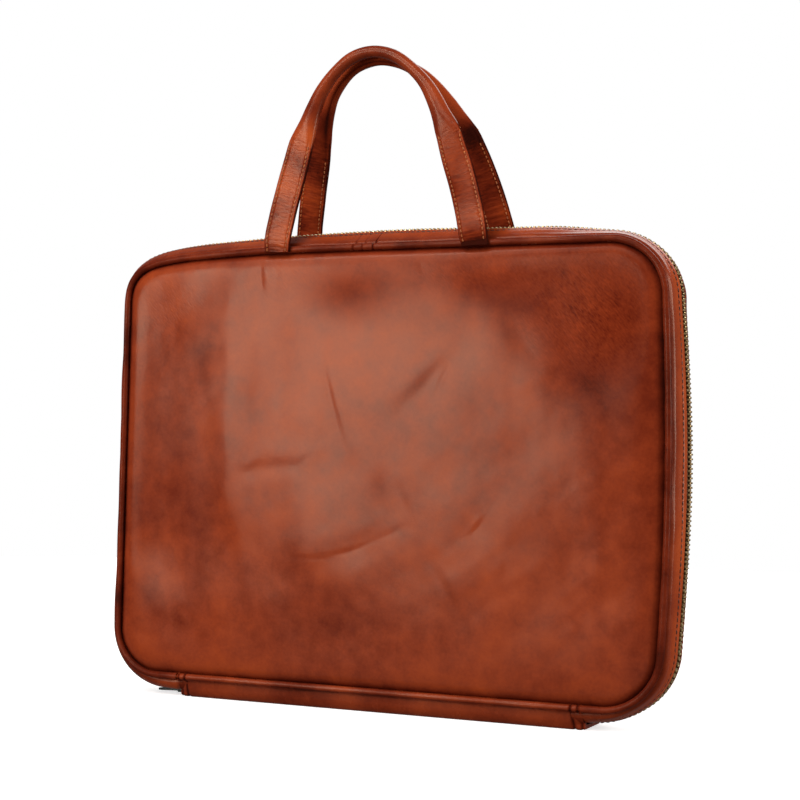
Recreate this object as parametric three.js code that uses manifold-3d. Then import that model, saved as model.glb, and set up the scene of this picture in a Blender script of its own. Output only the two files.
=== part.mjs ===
// A leather laptop case with a zip round three sides and two rolled handles, in millimetres.
// X runs along the front from left to right, Y to the back, Z up. The flat underside is Z = 0.
// Most shapes are drawn in a section beside the panel's outline: out is the distance outward from
// the outline in the X-Z plane, and depth is the distance from the middle plane, front or back.
import * as THREE from 'three';
import Module from 'manifold-3d';

// Sides of the case
const FRONT = -1;
const BACK = 1;

// Gap kept between neighbouring pieces
const CLEARANCE = 0.3;

// Panels
const PANEL_WIDTH = 367;
const PANEL_HEIGHT = 275;
const PANEL_MIDDLE_X = -0.8;
const PANEL_WALL = 1.8;
const RIGHT_BOW = 3;
const LEFT_LEAN = 1;
const SEAM_HEIGHT = 15.9;
const SEAM_DEPTH = 20;
const RIM_DEPTH = 18.7;
const RIM_INSET = 0.1;
const CURL_HEIGHT = 4.2;
const CURL_WIDTH = 3.6;
const PILLOW_HEIGHT = 3.6;
const FRONT_RINGS = [1, 0.994, 0.985, 0.968, 0.93, 0.86, 0.76, 0.65, 0.53, 0.41, 0.28, 0.14];
const BACK_RINGS = [1, 0.992, 0.98, 0.95, 0.86, 0.65, 0.35];

// Corners of the panel, going round from the bottom right. The top edge droops into the top left one.
const CORNERS = [
  { name: 'bottom right', run: 34, rise: 34 },
  { name: 'top right', run: 33, rise: 33 },
  { name: 'top left', run: 95, rise: 34 },
  { name: 'bottom left', run: 29, rise: 28 },
];
const DROOP_START = 110;
const DROOP = 0.9;
const TOP_LEFT_BEND = { run: 16, drop: 4.4, nearEdge: 0.6, nearDrop: 4 };
const CORNER_STEPS = 6;
const SIDE_STEPS = 8;

// Dents of the front panel: middle from the panel's middle, reach along and across, turn in degrees
const FRONT_DENTS = [
  { x: -28, z: 38, along: 44, across: 11, turn: -75, depth: 0.7 },
  { x: 49, z: 68, along: 22, across: 10, turn: 62, depth: 0.6 },
  { x: 101, z: 76, along: 24, across: 10, turn: -48, depth: 0.5 },
  { x: 72, z: -37, along: 14, across: 10, turn: 10, depth: 0.8 },
  { x: -12, z: -52, along: 26, across: 9, turn: 26, depth: 0.8 },
  { x: -118, z: 30, along: 120, across: 26, turn: 88, depth: 0.6 },
];

// Piping
const PIPING_RADIUS = 2.2;
const PIPING_OUT = 2.4;
const PIPING_SIDES = 8;

// Gussets: a dome over the seam, cut at the zip
const FOOT_OUT = 3;
const FOOT_DEPTH = 17.5;
const GUSSET_WALL = 1.6;
const GUSSET_EDGE_WALL = 1;
const GUSSET_STEPS = 5;
const ZIP_OPENING = 5;
const LAP_UNDER_STRIP = 9;

// Height of the dome above the panel's outline and the squareness of its section, round the loop.
// curve counts the outline's curves from the bottom middle, and part is the way along that curve.
const CROWNS = [
  { place: 'bottom middle, start', curve: 0, part: 0, crown: 12.2, square: 4 },
  { place: 'strip end, right', curve: 0, part: 0.92, crown: 12.2, square: 4 },
  { place: 'bottom right corner', curve: 1, part: 0.4, crown: 9, square: 1.7 },
  { place: 'right side', curve: 2, part: 0.5, crown: 11.2, square: 1.2 },
  { place: 'top right corner', curve: 3, part: 0.5, crown: 8.2, square: 1.5 },
  { place: 'top, towards the right', curve: 4, part: 0.21, crown: 13.7, square: 1.5 },
  { place: 'top middle', curve: 4, part: 0.59, crown: 15.2, square: 1.5 },
  { place: 'top, towards the left', curve: 5, part: 0.3, crown: 13.3, square: 1.6 },
  { place: 'top left corner', curve: 5, part: 0.72, crown: 12.6, square: 1.9 },
  { place: 'left side', curve: 6, part: 0.5, crown: 13, square: 2 },
  { place: 'bottom left corner', curve: 7, part: 0.6, crown: 12.3, square: 2.4 },
  { place: 'strip end, left', curve: 8, part: 0.15, crown: 11.3, square: 4 },
  { place: 'bottom middle, end', curve: 8, part: 1, crown: 11.3, square: 4 },
];

// Base strip
const STRIP_LEFT = -139.8;
const STRIP_RIGHT = 137.2;
const STRIP_WALL = 2.9;
const STRIP_FLAT_HALF = 13;
const STRIP_SQUARE = 4;
const STRIP_STEPS = 6;
const CORD_START = 250;
const CORD_END = -30;
const CORD_STEPS = 8;

// Zip
const TAPE_WALL = 0.8;
const TAPE_INNER_DEPTH = 3.2;
const TAPE_OUTER_DEPTH = 10.5;
const TAPE_DROP = 2;
const TEETH_HALF_WIDTH = 2.9;
const TEETH_ABOVE = 0.1;
const TEETH_BELOW = 2.4;

// Slider, drawn flat: along runs up the zip away from the base strip, out points out of the case
const SLIDER_LENGTH = 10;
const SLIDER_FROM_STRIP = 7;
const SLIDER_HALF_WIDTH = 4.4;
const SLIDER_FLANGE = 0.7;
const SLIDER_FLANGE_OUT = -0.5;
const SLIDER_PLATE_OUT = 0.4;
const SLIDER_PLATE_TOP = 1.2;
const SLIDER_BACK_HALF_WIDTH = 3.4;
const SLIDER_BACK_TOP = -2.75;
const SLIDER_BACK_BOTTOM = -3.7;
const DIVIDER_LENGTH = 2.2;
const DIVIDER_HALF_WIDTH = 1.6;
const BRIDGE_HALF_LENGTH = 4.2;
const BRIDGE_WIDTH = 2.2;
const BRIDGE_BAR = 0.8;
const BRIDGE_OPENING = 2;

// Puller
const PULLER_WALL = 1.2;
const PULLER_BAR = 0.6;
const PULLER_EYE_LENGTH = 5.6;
const PULLER_EYE_HALF_WIDTH = 1.5;
const PULLER_HALF_WIDTH = 3.2;
const PULLER_LENGTH = 19;
const PULLER_END_STEPS = 8;

// Handles: rise above the seam, half the span, and the size and squareness of the strap's section
const HANDLE_MIDDLE_X = -3;
const HANDLE_SWAY = -5.4;
const HANDLE_DEPTH = 24.1;
const HANDLE_SIDES = 12;
const HANDLE_STATIONS = [
  { rise: 0.3, half: 68.4, width: 17.4, wall: 3.2, square: 5 },
  { rise: 6, half: 67.8, width: 18.2, wall: 3.2, square: 5 },
  { rise: 22, half: 64.8, width: 18.4, wall: 3.4, square: 5 },
  { rise: 40, half: 60.2, width: 18.4, wall: 3.6, square: 5 },
  { rise: 60, half: 54.2, width: 18, wall: 4.2, square: 4.5 },
  { rise: 69, half: 51.6, width: 17.2, wall: 5.2, square: 3.6 },
  { rise: 75, half: 49.2, width: 12.6, wall: 7.4, square: 2.4 },
  { rise: 81, half: 46.8, width: 9.6, wall: 8.8, square: 2 },
  { rise: 92, half: 42.2, width: 8.8, wall: 9.2, square: 2 },
  { rise: 104, half: 35.6, width: 8.6, wall: 9.2, square: 2 },
  { rise: 115, half: 26, width: 8.4, wall: 9.2, square: 2 },
  { rise: 123.4, half: 14, width: 8.4, wall: 9.2, square: 2 },
  { rise: 126.6, half: 0, width: 8.4, wall: 9.2, square: 2 },
];
// Each handle's depth and reach at the top, how much wider its feet stand and how much higher its tabs go
const HANDLE_LEANS = [
  { side: FRONT, topDepth: 20, reach: 1, spread: 0, lift: 0 },
  { side: BACK, topDepth: -9.8, reach: 0.978, spread: 2, lift: 5 },
];
const LEAN_START = 6;
const LEAN_POWER = 1.15;

// Colours and finishes
const LEATHER = new THREE.MeshStandardMaterial({ color: 0x8a4526, roughness: 0.45, metalness: 0 });
const LEATHER_EDGE = new THREE.MeshStandardMaterial({ color: 0x7c3a22, roughness: 0.45, metalness: 0 });
const TAPE = new THREE.MeshStandardMaterial({ color: 0x4a3226, roughness: 0.85, metalness: 0 });
const BRASS = new THREE.MeshStandardMaterial({ color: 0x8f7440, roughness: 0.4, metalness: 1 });
const GUNMETAL = new THREE.MeshStandardMaterial({ color: 0x3a3b3a, roughness: 0.35, metalness: 1 });

// Solids
function signedVolume(points, faces) {
  let volume = 0;
  for (const [a, b, c] of faces) {
    volume += points[a].dot(points[b].clone().cross(points[c])) / 6;
  }
  return volume;
}

function closedGeometry(points, faces) {
  const outward = signedVolume(points, faces) > 0 ? faces : faces.map(([a, b, c]) => [a, c, b]);
  const geometry = new THREE.BufferGeometry().setFromPoints(points);
  geometry.setIndex(outward.flat());
  geometry.computeVertexNormals();
  return geometry;
}

// Joins equal rings of points into one solid, closed at both ends by the section's own triangles.
function loft(rings, section) {
  const count = rings[0].length;
  const last = (rings.length - 1) * count;
  const faces = [];
  for (let ring = 0; ring + 1 < rings.length; ring += 1) {
    for (let i = 0; i < count; i += 1) {
      const a = ring * count + i;
      const b = ring * count + ((i + 1) % count);
      faces.push([a, b, b + count], [a, b + count, a + count]);
    }
  }
  const { area, triangulateShape } = THREE.ShapeUtils;
  for (const triangle of triangulateShape(section, [])) {
    const sameTurn = area(triangle.map((i) => section[i])) * area(section) > 0;
    const [a, b, c] = sameTurn ? triangle : triangle.reverse();
    faces.push([a, c, b], [last + a, last + b, last + c]);
  }
  return closedGeometry(rings.flat(), faces);
}

function named(name, geometry, material) {
  const mesh = new THREE.Mesh(geometry, material);
  mesh.name = name;
  return mesh;
}

// The panel's outline, from the bottom middle to the right, over the top and back
function panelOutline() {
  const halfWidth = PANEL_WIDTH / 2;
  const bottom = SEAM_HEIGHT;
  const top = SEAM_HEIGHT + PANEL_HEIGHT;
  const left = PANEL_MIDDLE_X - halfWidth;
  const right = PANEL_MIDDLE_X + halfWidth;
  const [lowRight, highRight, highLeft, lowLeft] = CORNERS;
  const quarter = Math.PI / 2;
  const outline = new THREE.CurvePath();
  const at = (x, z) => new THREE.Vector2(x, z);
  const addCorner = (x, z, corner, from) => {
    outline.add(new THREE.EllipseCurve(x, z, corner.run, corner.rise, from, from + quarter));
  };
  outline.add(new THREE.LineCurve(at(PANEL_MIDDLE_X, bottom), at(right - lowRight.run, bottom)));
  addCorner(right - lowRight.run, bottom + lowRight.rise, lowRight, -quarter);
  outline.add(new THREE.QuadraticBezierCurve(
    at(right, bottom + lowRight.rise),
    at(right + 2 * RIGHT_BOW, (bottom + top) / 2),
    at(right, top - highRight.rise),
  ));
  addCorner(right - highRight.run, top - highRight.rise, highRight, 0);
  const droopEnd = at(left + highLeft.run, top - DROOP);
  const leanTop = at(left + LEFT_LEAN, top - highLeft.rise);
  outline.add(new THREE.QuadraticBezierCurve(
    at(right - highRight.run, top),
    at(left + DROOP_START, top),
    droopEnd,
  ));
  outline.add(new THREE.CubicBezierCurve(
    droopEnd,
    at(left + TOP_LEFT_BEND.run, top - TOP_LEFT_BEND.drop),
    at(left + TOP_LEFT_BEND.nearEdge, top - TOP_LEFT_BEND.nearDrop),
    leanTop,
  ));
  outline.add(new THREE.LineCurve(leanTop, at(left, bottom + lowLeft.rise)));
  addCorner(left + lowLeft.run, bottom + lowLeft.rise, lowLeft, Math.PI);
  outline.add(new THREE.LineCurve(at(left + lowLeft.run, bottom), at(PANEL_MIDDLE_X, bottom)));
  return outline;
}

const OUTLINE = panelOutline();
const OUTLINE_LENGTHS = OUTLINE.getCurveLengths();
const OUTLINE_LENGTH = OUTLINE.getLength();

function lengthAt(curve, part) {
  const end = OUTLINE_LENGTHS[curve];
  const start = curve > 0 ? OUTLINE_LENGTHS[curve - 1] : 0;
  return start + (end - start) * part;
}

// The crown and squareness at a length along the outline, eased between the rows of the table
function domeAt(length) {
  const after = CROWNS.findIndex((row) => lengthAt(row.curve, row.part) >= length);
  const to = CROWNS[Math.max(after, 1)];
  const from = CROWNS[Math.max(after, 1) - 1];
  const start = lengthAt(from.curve, from.part);
  const ease = THREE.MathUtils.smoothstep(length, start, lengthAt(to.curve, to.part));
  return {
    crown: THREE.MathUtils.lerp(from.crown, to.crown, ease),
    square: THREE.MathUtils.lerp(from.square, to.square, ease),
  };
}

function stationAt(length) {
  const share = THREE.MathUtils.clamp(length / OUTLINE_LENGTH, 0, 1);
  const point = OUTLINE.getPointAt(share);
  const tangent = OUTLINE.getTangentAt(share);
  return { length, x: point.x, z: point.y, outX: tangent.y, outZ: -tangent.x, ...domeAt(length) };
}

function place(station, out, depth, side) {
  return new THREE.Vector3(station.x + station.outX * out, side * depth, station.z + station.outZ * out);
}

// Lengths of the stations round the loop, closer at the corners
function loopLengths() {
  const lengths = [];
  for (let curve = 0; curve < OUTLINE.curves.length; curve += 1) {
    const corner = curve % 2 === 1;
    const halfSide = curve === 0 || curve === OUTLINE.curves.length - 1;
    const steps = corner ? CORNER_STEPS : Math.ceil(SIDE_STEPS / (halfSide ? 2 : 1));
    for (let step = 0; step < steps; step += 1) {
      lengths.push(lengthAt(curve, step / steps));
    }
  }
  return lengths;
}

const STRIP_END_RIGHT = STRIP_RIGHT - PANEL_MIDDLE_X;
const STRIP_END_LEFT = OUTLINE_LENGTH - (PANEL_MIDDLE_X - STRIP_LEFT);
const SHORTEST_STEP = 3;

function stationsBetween(start, end) {
  const between = (length) => length > start + SHORTEST_STEP && length < end - SHORTEST_STEP;
  const inner = loopLengths().filter(between);
  return [start, ...inner, end].map(stationAt);
}

// Sweeps a section along part of the loop. sectionAt gives the section's points at a station.
function sweep(stations, sectionAt, side) {
  const rings = stations.map((station) => sectionAt(station).map(({ x, y }) => place(station, x, y, side)));
  return loft(rings, sectionAt(stations[0]));
}

// Panels
function dentDepth(x, z, dents) {
  let depth = 0;
  for (const dent of dents) {
    const turn = THREE.MathUtils.degToRad(dent.turn);
    const along = ((x - dent.x) * Math.cos(turn) + (z - dent.z) * Math.sin(turn)) / dent.along;
    const across = ((z - dent.z) * Math.cos(turn) - (x - dent.x) * Math.sin(turn)) / dent.across;
    depth += dent.depth * Math.exp(-along * along - across * across);
  }
  return depth;
}

function panelDepth(x, z, inset, dents) {
  const u = (2 * x) / (PANEL_WIDTH + RIGHT_BOW);
  const v = (2 * z) / PANEL_HEIGHT;
  const curl = CURL_HEIGHT * (1 - Math.exp(-inset / CURL_WIDTH));
  const pillow = PILLOW_HEIGHT * Math.max(0, 1 - u * u) * Math.max(0, 1 - v * v);
  return RIM_DEPTH + curl + pillow - dentDepth(x, z, dents);
}

function panelSurface(stations, side, rings, dents, wall) {
  const middleZ = SEAM_HEIGHT + PANEL_HEIGHT / 2;
  const points = [];
  for (const share of rings) {
    for (const station of stations) {
      const rim = place(station, -RIM_INSET, 0, side);
      const x = (rim.x - PANEL_MIDDLE_X) * share;
      const z = (rim.z - middleZ) * share;
      const toRim = (rim.x - PANEL_MIDDLE_X) * station.outX + (rim.z - middleZ) * station.outZ;
      const depth = panelDepth(x, z, (1 - share) * toRim, dents) - wall;
      points.push(new THREE.Vector3(x + PANEL_MIDDLE_X, side * depth, z + middleZ));
    }
  }
  const middleDepth = panelDepth(0, 0, PANEL_HEIGHT / 2, dents) - wall;
  points.push(new THREE.Vector3(PANEL_MIDDLE_X, side * middleDepth, middleZ));
  return points;
}

function panelGeometry(side, rings, dents) {
  const stations = loopLengths().map(stationAt);
  const outer = panelSurface(stations, side, rings, dents, 0);
  const inner = panelSurface(stations, side, rings, dents, PANEL_WALL);
  const count = stations.length;
  const middle = outer.length - 1;
  const faces = [];
  const addBoth = (a, b, c) => faces.push([a, b, c], [outer.length + a, outer.length + c, outer.length + b]);
  for (let i = 0; i < count; i += 1) {
    const next = (i + 1) % count;
    for (let ring = 0; ring + 1 < rings.length; ring += 1) {
      const start = ring * count;
      addBoth(start + i, start + next, start + count + next);
      addBoth(start + i, start + count + next, start + count + i);
    }
    addBoth(middle - count + i, middle - count + next, middle);
    faces.push([next, i, outer.length + i], [next, outer.length + i, outer.length + next]);
  }
  return closedGeometry([...outer, ...inner], faces);
}

// Piping
function pipingGeometry(side) {
  const section = [];
  for (let i = 0; i < PIPING_SIDES; i += 1) {
    const angle = (2 * Math.PI * i) / PIPING_SIDES;
    section.push(new THREE.Vector2(
      PIPING_OUT + PIPING_RADIUS * Math.cos(angle),
      SEAM_DEPTH + PIPING_RADIUS * Math.sin(angle),
    ));
  }
  const stations = stationsBetween(STRIP_END_RIGHT + CLEARANCE, STRIP_END_LEFT - CLEARANCE);
  return sweep(stations, () => section, side);
}

// The dome's height over the outline at a depth, and a point of its section moved inward
function domeOut(dome, depth) {
  const share = Math.min(depth / FOOT_DEPTH, 1);
  return FOOT_OUT + (dome.crown - FOOT_OUT) * (1 - share ** dome.square) ** (1 / dome.square);
}

function domePoint(dome, angle, inward) {
  const power = 2 / dome.square;
  const rise = dome.crown - FOOT_OUT;
  const out = rise * Math.sin(angle) ** power;
  const depth = FOOT_DEPTH * Math.cos(angle) ** power;
  const normal = new THREE.Vector2(
    (out / rise) ** (dome.square - 1) / rise,
    (depth / FOOT_DEPTH) ** (dome.square - 1) / FOOT_DEPTH,
  ).normalize();
  return new THREE.Vector2(FOOT_OUT + out - inward * normal.x, depth - inward * normal.y);
}

// Gussets
function gussetSection(dome) {
  const power = 2 / dome.square;
  const edgeAngle = Math.acos((ZIP_OPENING / FOOT_DEPTH) ** (1 / power));
  const outer = [];
  const inner = [];
  for (let step = 0; step <= GUSSET_STEPS; step += 1) {
    const share = step / GUSSET_STEPS;
    const wall = THREE.MathUtils.lerp(GUSSET_WALL, GUSSET_EDGE_WALL, share);
    outer.push(domePoint(dome, edgeAngle * share, 0));
    inner.push(domePoint(dome, edgeAngle * share, wall));
  }
  return [...outer, ...inner.reverse()];
}

function gussetGeometry(side) {
  const stations = stationsBetween(STRIP_END_RIGHT - LAP_UNDER_STRIP, STRIP_END_LEFT + LAP_UNDER_STRIP);
  return sweep(stations, gussetSection, side);
}

// Zip tapes and teeth
function tapeSection(dome) {
  const under = GUSSET_WALL + CLEARANCE;
  const outerEdge = domeOut(dome, TAPE_OUTER_DEPTH) - under - TAPE_DROP;
  const leatherEdge = domeOut(dome, ZIP_OPENING) - under;
  const innerEdge = dome.crown - TAPE_DROP + TAPE_WALL / 2;
  return [
    new THREE.Vector2(innerEdge, TAPE_INNER_DEPTH),
    new THREE.Vector2(leatherEdge, ZIP_OPENING),
    new THREE.Vector2(outerEdge, TAPE_OUTER_DEPTH),
    new THREE.Vector2(outerEdge - TAPE_WALL, TAPE_OUTER_DEPTH),
    new THREE.Vector2(leatherEdge - TAPE_WALL, ZIP_OPENING),
    new THREE.Vector2(innerEdge - TAPE_WALL, TAPE_INNER_DEPTH),
  ];
}

function tapeGeometry(side) {
  const stations = stationsBetween(STRIP_END_RIGHT - LAP_UNDER_STRIP, STRIP_END_LEFT + LAP_UNDER_STRIP);
  return sweep(stations, tapeSection, side);
}

function teethSection(dome) {
  return [
    new THREE.Vector2(dome.crown + TEETH_ABOVE, -TEETH_HALF_WIDTH),
    new THREE.Vector2(dome.crown + TEETH_ABOVE, TEETH_HALF_WIDTH),
    new THREE.Vector2(dome.crown - TEETH_BELOW, TEETH_HALF_WIDTH),
    new THREE.Vector2(dome.crown - TEETH_BELOW, -TEETH_HALF_WIDTH),
  ];
}

const SLIDER_AT = STRIP_END_LEFT - SLIDER_FROM_STRIP;

function teethGeometry() {
  const end = SLIDER_AT + SLIDER_LENGTH / 2 - DIVIDER_LENGTH - CLEARANCE;
  return sweep(stationsBetween(STRIP_END_RIGHT + CLEARANCE, end), teethSection, FRONT);
}

// Base strip: half of its outer side, from the cord at the seam to the flat underside
function stripOuterHalf() {
  const half = [];
  for (let step = 0; step <= CORD_STEPS; step += 1) {
    const angle = THREE.MathUtils.degToRad(THREE.MathUtils.lerp(CORD_START, CORD_END, step / CORD_STEPS));
    half.push(new THREE.Vector2(
      PIPING_OUT + PIPING_RADIUS * Math.cos(angle),
      SEAM_DEPTH + PIPING_RADIUS * Math.sin(angle),
    ));
  }
  const groove = half[half.length - 1];
  for (let step = 1; step <= STRIP_STEPS; step += 1) {
    const angle = (Math.PI / 2) * (step / STRIP_STEPS);
    half.push(new THREE.Vector2(
      groove.x + (SEAM_HEIGHT - groove.x) * Math.sin(angle),
      STRIP_FLAT_HALF + (groove.y - STRIP_FLAT_HALF) * Math.cos(angle),
    ));
  }
  return half;
}

function stripInnerHalf() {
  const half = [];
  const dome = { crown: SEAM_HEIGHT - STRIP_WALL - CLEARANCE, square: STRIP_SQUARE };
  for (let step = 0; step <= STRIP_STEPS; step += 1) {
    half.push(domePoint(dome, (Math.PI / 2) * (step / STRIP_STEPS), -CLEARANCE));
  }
  return half;
}

function stripGeometry() {
  const flipped = (points) => points.map(({ x, y }) => new THREE.Vector2(x, -y));
  const outer = stripOuterHalf();
  const inner = stripInnerHalf();
  const section = [
    ...outer,
    ...flipped(outer).reverse(),
    ...flipped(inner),
    ...inner.reverse().slice(1),
  ];
  const rings = [STRIP_LEFT, STRIP_RIGHT].map(
    (x) => section.map((point) => new THREE.Vector3(x, point.y, SEAM_HEIGHT - point.x)),
  );
  return loft(rings, section);
}

// Handles
function handlePath({ side, topDepth, reach, spread, lift }) {
  const top = HANDLE_STATIONS[HANDLE_STATIONS.length - 1].rise;
  const legs = [-1, 1].map((leg) => HANDLE_STATIONS.map((row) => {
    const rise = row.rise + lift * Math.sin((Math.PI * row.rise) / top);
    const half = row.half + spread * (1 - row.rise / top);
    const lean = (Math.max(rise - LEAN_START, 0) / (top - LEAN_START)) ** LEAN_POWER;
    return {
      ...row,
      point: new THREE.Vector3(
        HANDLE_MIDDLE_X + HANDLE_SWAY * (rise / top) ** 2 + leg * half,
        side * THREE.MathUtils.lerp(HANDLE_DEPTH, topDepth, lean),
        SEAM_HEIGHT + PANEL_HEIGHT + rise * THREE.MathUtils.lerp(1, reach, lean),
      ),
    };
  }));
  return [...legs[0], ...legs[1].reverse().slice(1)];
}

function strapSection(row) {
  const section = [];
  const rounded = (value) => Math.sign(value) * Math.abs(value) ** (2 / row.square);
  for (let i = 0; i < HANDLE_SIDES; i += 1) {
    const angle = (2 * Math.PI * (i + 0.5)) / HANDLE_SIDES;
    section.push(new THREE.Vector2(
      (row.width / 2) * rounded(Math.cos(angle)),
      (row.wall / 2) * rounded(Math.sin(angle)),
    ));
  }
  return section;
}

// Both feet stand upright on the seam.
function handleTangent(rows, i) {
  if (i === 0) return new THREE.Vector3(0, 0, 1);
  if (i === rows.length - 1) return new THREE.Vector3(0, 0, -1);
  return rows[i + 1].point.clone().sub(rows[i - 1].point).normalize();
}

function handleGeometry(lean) {
  const rows = handlePath(lean);
  const rings = rows.map((row, i) => {
    const tangent = handleTangent(rows, i);
    const thick = new THREE.Vector3(0, 1, 0).addScaledVector(tangent, -tangent.y).normalize();
    const across = tangent.clone().cross(thick);
    const toPoint = ({ x, y }) => row.point.clone().addScaledVector(across, x).addScaledVector(thick, y);
    return strapSection(row).map(toPoint);
  });
  return loft(rings, strapSection(rows[0]));
}

// Slider and puller
const wasm = await Module();
wasm.setup();

function toManifold(geometry) {
  const ids = new Map();
  const vertices = [];
  const triangles = [];
  const position = geometry.getAttribute('position');
  const order = geometry.index ? Array.from(geometry.index.array) : [...Array(position.count).keys()];
  for (const i of order) {
    const point = new THREE.Vector3().fromBufferAttribute(position, i);
    const key = point.toArray().map((value) => value.toFixed(5)).join(' ');
    if (!ids.has(key)) {
      ids.set(key, ids.size);
      vertices.push(...point.toArray());
    }
    triangles.push(ids.get(key));
  }
  return new wasm.Manifold(new wasm.Mesh({
    numProp: 3,
    vertProperties: new Float32Array(vertices),
    triVerts: new Uint32Array(triangles),
  }));
}

function fromManifold(solid) {
  const { vertProperties, triVerts } = solid.getMesh();
  const geometry = new THREE.BufferGeometry();
  geometry.setAttribute('position', new THREE.BufferAttribute(new Float32Array(vertProperties), 3));
  geometry.setIndex(Array.from(triVerts));
  geometry.computeVertexNormals();
  return geometry;
}

function box(alongRange, halfWidth, outRange) {
  const [alongFrom, alongTo] = alongRange;
  const [outFrom, outTo] = outRange;
  const geometry = new THREE.BoxGeometry(alongTo - alongFrom, 2 * halfWidth, outTo - outFrom);
  return geometry.translate((alongFrom + alongTo) / 2, 0, (outFrom + outTo) / 2);
}

function sliderGeometry() {
  const half = SLIDER_LENGTH / 2;
  const front = toManifold(box([-half, half], SLIDER_HALF_WIDTH, [SLIDER_FLANGE_OUT, SLIDER_PLATE_TOP]));
  const channelHalfWidth = SLIDER_HALF_WIDTH - SLIDER_FLANGE;
  const channelHeight = [SLIDER_BACK_BOTTOM, SLIDER_PLATE_OUT];
  const channel = box([-SLIDER_LENGTH, SLIDER_LENGTH], channelHalfWidth, channelHeight);
  const backPlate = box([-half, half], SLIDER_BACK_HALF_WIDTH, [SLIDER_BACK_BOTTOM, SLIDER_BACK_TOP]);
  const fullHeight = [SLIDER_BACK_BOTTOM, SLIDER_PLATE_TOP];
  const divider = box([-half, DIVIDER_LENGTH - half], DIVIDER_HALF_WIDTH, fullHeight);
  const bridgeTop = SLIDER_PLATE_TOP + BRIDGE_OPENING + BRIDGE_BAR;
  const bridgeLength = [-BRIDGE_HALF_LENGTH, BRIDGE_HALF_LENGTH];
  const bridge = box(bridgeLength, BRIDGE_WIDTH / 2, [SLIDER_PLATE_OUT, bridgeTop]);
  const opening = box(
    [BRIDGE_BAR - BRIDGE_HALF_LENGTH, BRIDGE_HALF_LENGTH - BRIDGE_BAR],
    BRIDGE_WIDTH,
    [SLIDER_PLATE_TOP, SLIDER_PLATE_TOP + BRIDGE_OPENING],
  );
  const solid = front
    .subtract(toManifold(channel))
    .add(toManifold(backPlate))
    .add(toManifold(divider))
    .add(toManifold(bridge).subtract(toManifold(opening)));
  return fromManifold(solid);
}

// The puller's bar turns in the bridge, so the bar's middle is the origin.
function pullerGeometry() {
  const shape = new THREE.Shape();
  const end = PULLER_LENGTH - PULLER_HALF_WIDTH;
  shape.moveTo(-PULLER_BAR, -PULLER_HALF_WIDTH);
  shape.lineTo(end, -PULLER_HALF_WIDTH);
  shape.absarc(end, 0, PULLER_HALF_WIDTH, -Math.PI / 2, Math.PI / 2, false);
  shape.lineTo(-PULLER_BAR, PULLER_HALF_WIDTH);
  shape.closePath();
  const eye = new THREE.Path();
  eye.moveTo(PULLER_BAR, -PULLER_EYE_HALF_WIDTH);
  eye.lineTo(PULLER_BAR, PULLER_EYE_HALF_WIDTH);
  eye.lineTo(PULLER_BAR + PULLER_EYE_LENGTH, PULLER_EYE_HALF_WIDTH);
  eye.lineTo(PULLER_BAR + PULLER_EYE_LENGTH, -PULLER_EYE_HALF_WIDTH);
  eye.closePath();
  shape.holes.push(eye);
  const flat = { depth: PULLER_WALL, bevelEnabled: false, curveSegments: PULLER_END_STEPS };
  const geometry = new THREE.ExtrudeGeometry(shape, flat);
  return geometry.translate(0, 0, -PULLER_WALL / 2);
}

// The slider's own frame on the zip: along, across and out of the case
function sliderFrame() {
  const zipPoint = (length) => {
    const station = stationAt(length);
    return place(station, station.crown, 0, FRONT);
  };
  const stripEnd = zipPoint(SLIDER_AT + SLIDER_LENGTH / 2);
  const farEnd = zipPoint(SLIDER_AT - SLIDER_LENGTH / 2);
  const along = farEnd.sub(stripEnd).normalize();
  const across = new THREE.Vector3(0, 1, 0);
  const out = along.clone().cross(across);
  const frame = new THREE.Group();
  frame.name = 'zip_pull';
  frame.applyMatrix4(new THREE.Matrix4().makeBasis(along, across, out).setPosition(zipPoint(SLIDER_AT)));
  return frame;
}

// The case
const laptopCase = new THREE.Group();
laptopCase.name = 'laptop_case';

laptopCase.add(named('front_panel', panelGeometry(FRONT, FRONT_RINGS, FRONT_DENTS), LEATHER));
laptopCase.add(named('back_panel', panelGeometry(BACK, BACK_RINGS, []), LEATHER));

for (const [word, side] of [['front', FRONT], ['back', BACK]]) {
  laptopCase.add(named(`${word}_piping`, pipingGeometry(side), LEATHER_EDGE));
  laptopCase.add(named(`${word}_gusset`, gussetGeometry(side), LEATHER_EDGE));
  laptopCase.add(named(`${word}_tape`, tapeGeometry(side), TAPE));
}

laptopCase.add(named('zip_teeth', teethGeometry(), BRASS));
laptopCase.add(named('base_strip', stripGeometry(), LEATHER_EDGE));

for (const lean of HANDLE_LEANS) {
  laptopCase.add(named(lean.side === FRONT ? 'front_handle' : 'back_handle', handleGeometry(lean), LEATHER));
}

const zipPull = sliderFrame();
const puller = named('zip_puller', pullerGeometry(), GUNMETAL);
puller.position.z = SLIDER_PLATE_TOP + BRIDGE_OPENING / 2;
zipPull.add(named('zip_slider', sliderGeometry(), GUNMETAL), puller);
laptopCase.add(zipPull);

export default laptopCase;
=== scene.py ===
"""The looks of a leather laptop case with a zip round three sides and two rolled handles.

Sizes are in millimetres until new_piece() makes metres of them. X runs along the front from left to right,
Y to the back and Z up. Most shapes are drawn in a section beside the panel's outline: out is the distance
outward from the outline, and depth is the distance from the middle plane, front or back. Shades run from 0,
the darkest leather, to 1.
"""

import math
from collections import namedtuple

import bmesh
import bpy
import numpy as np
from mathutils import Matrix, Quaternion, Vector


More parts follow.
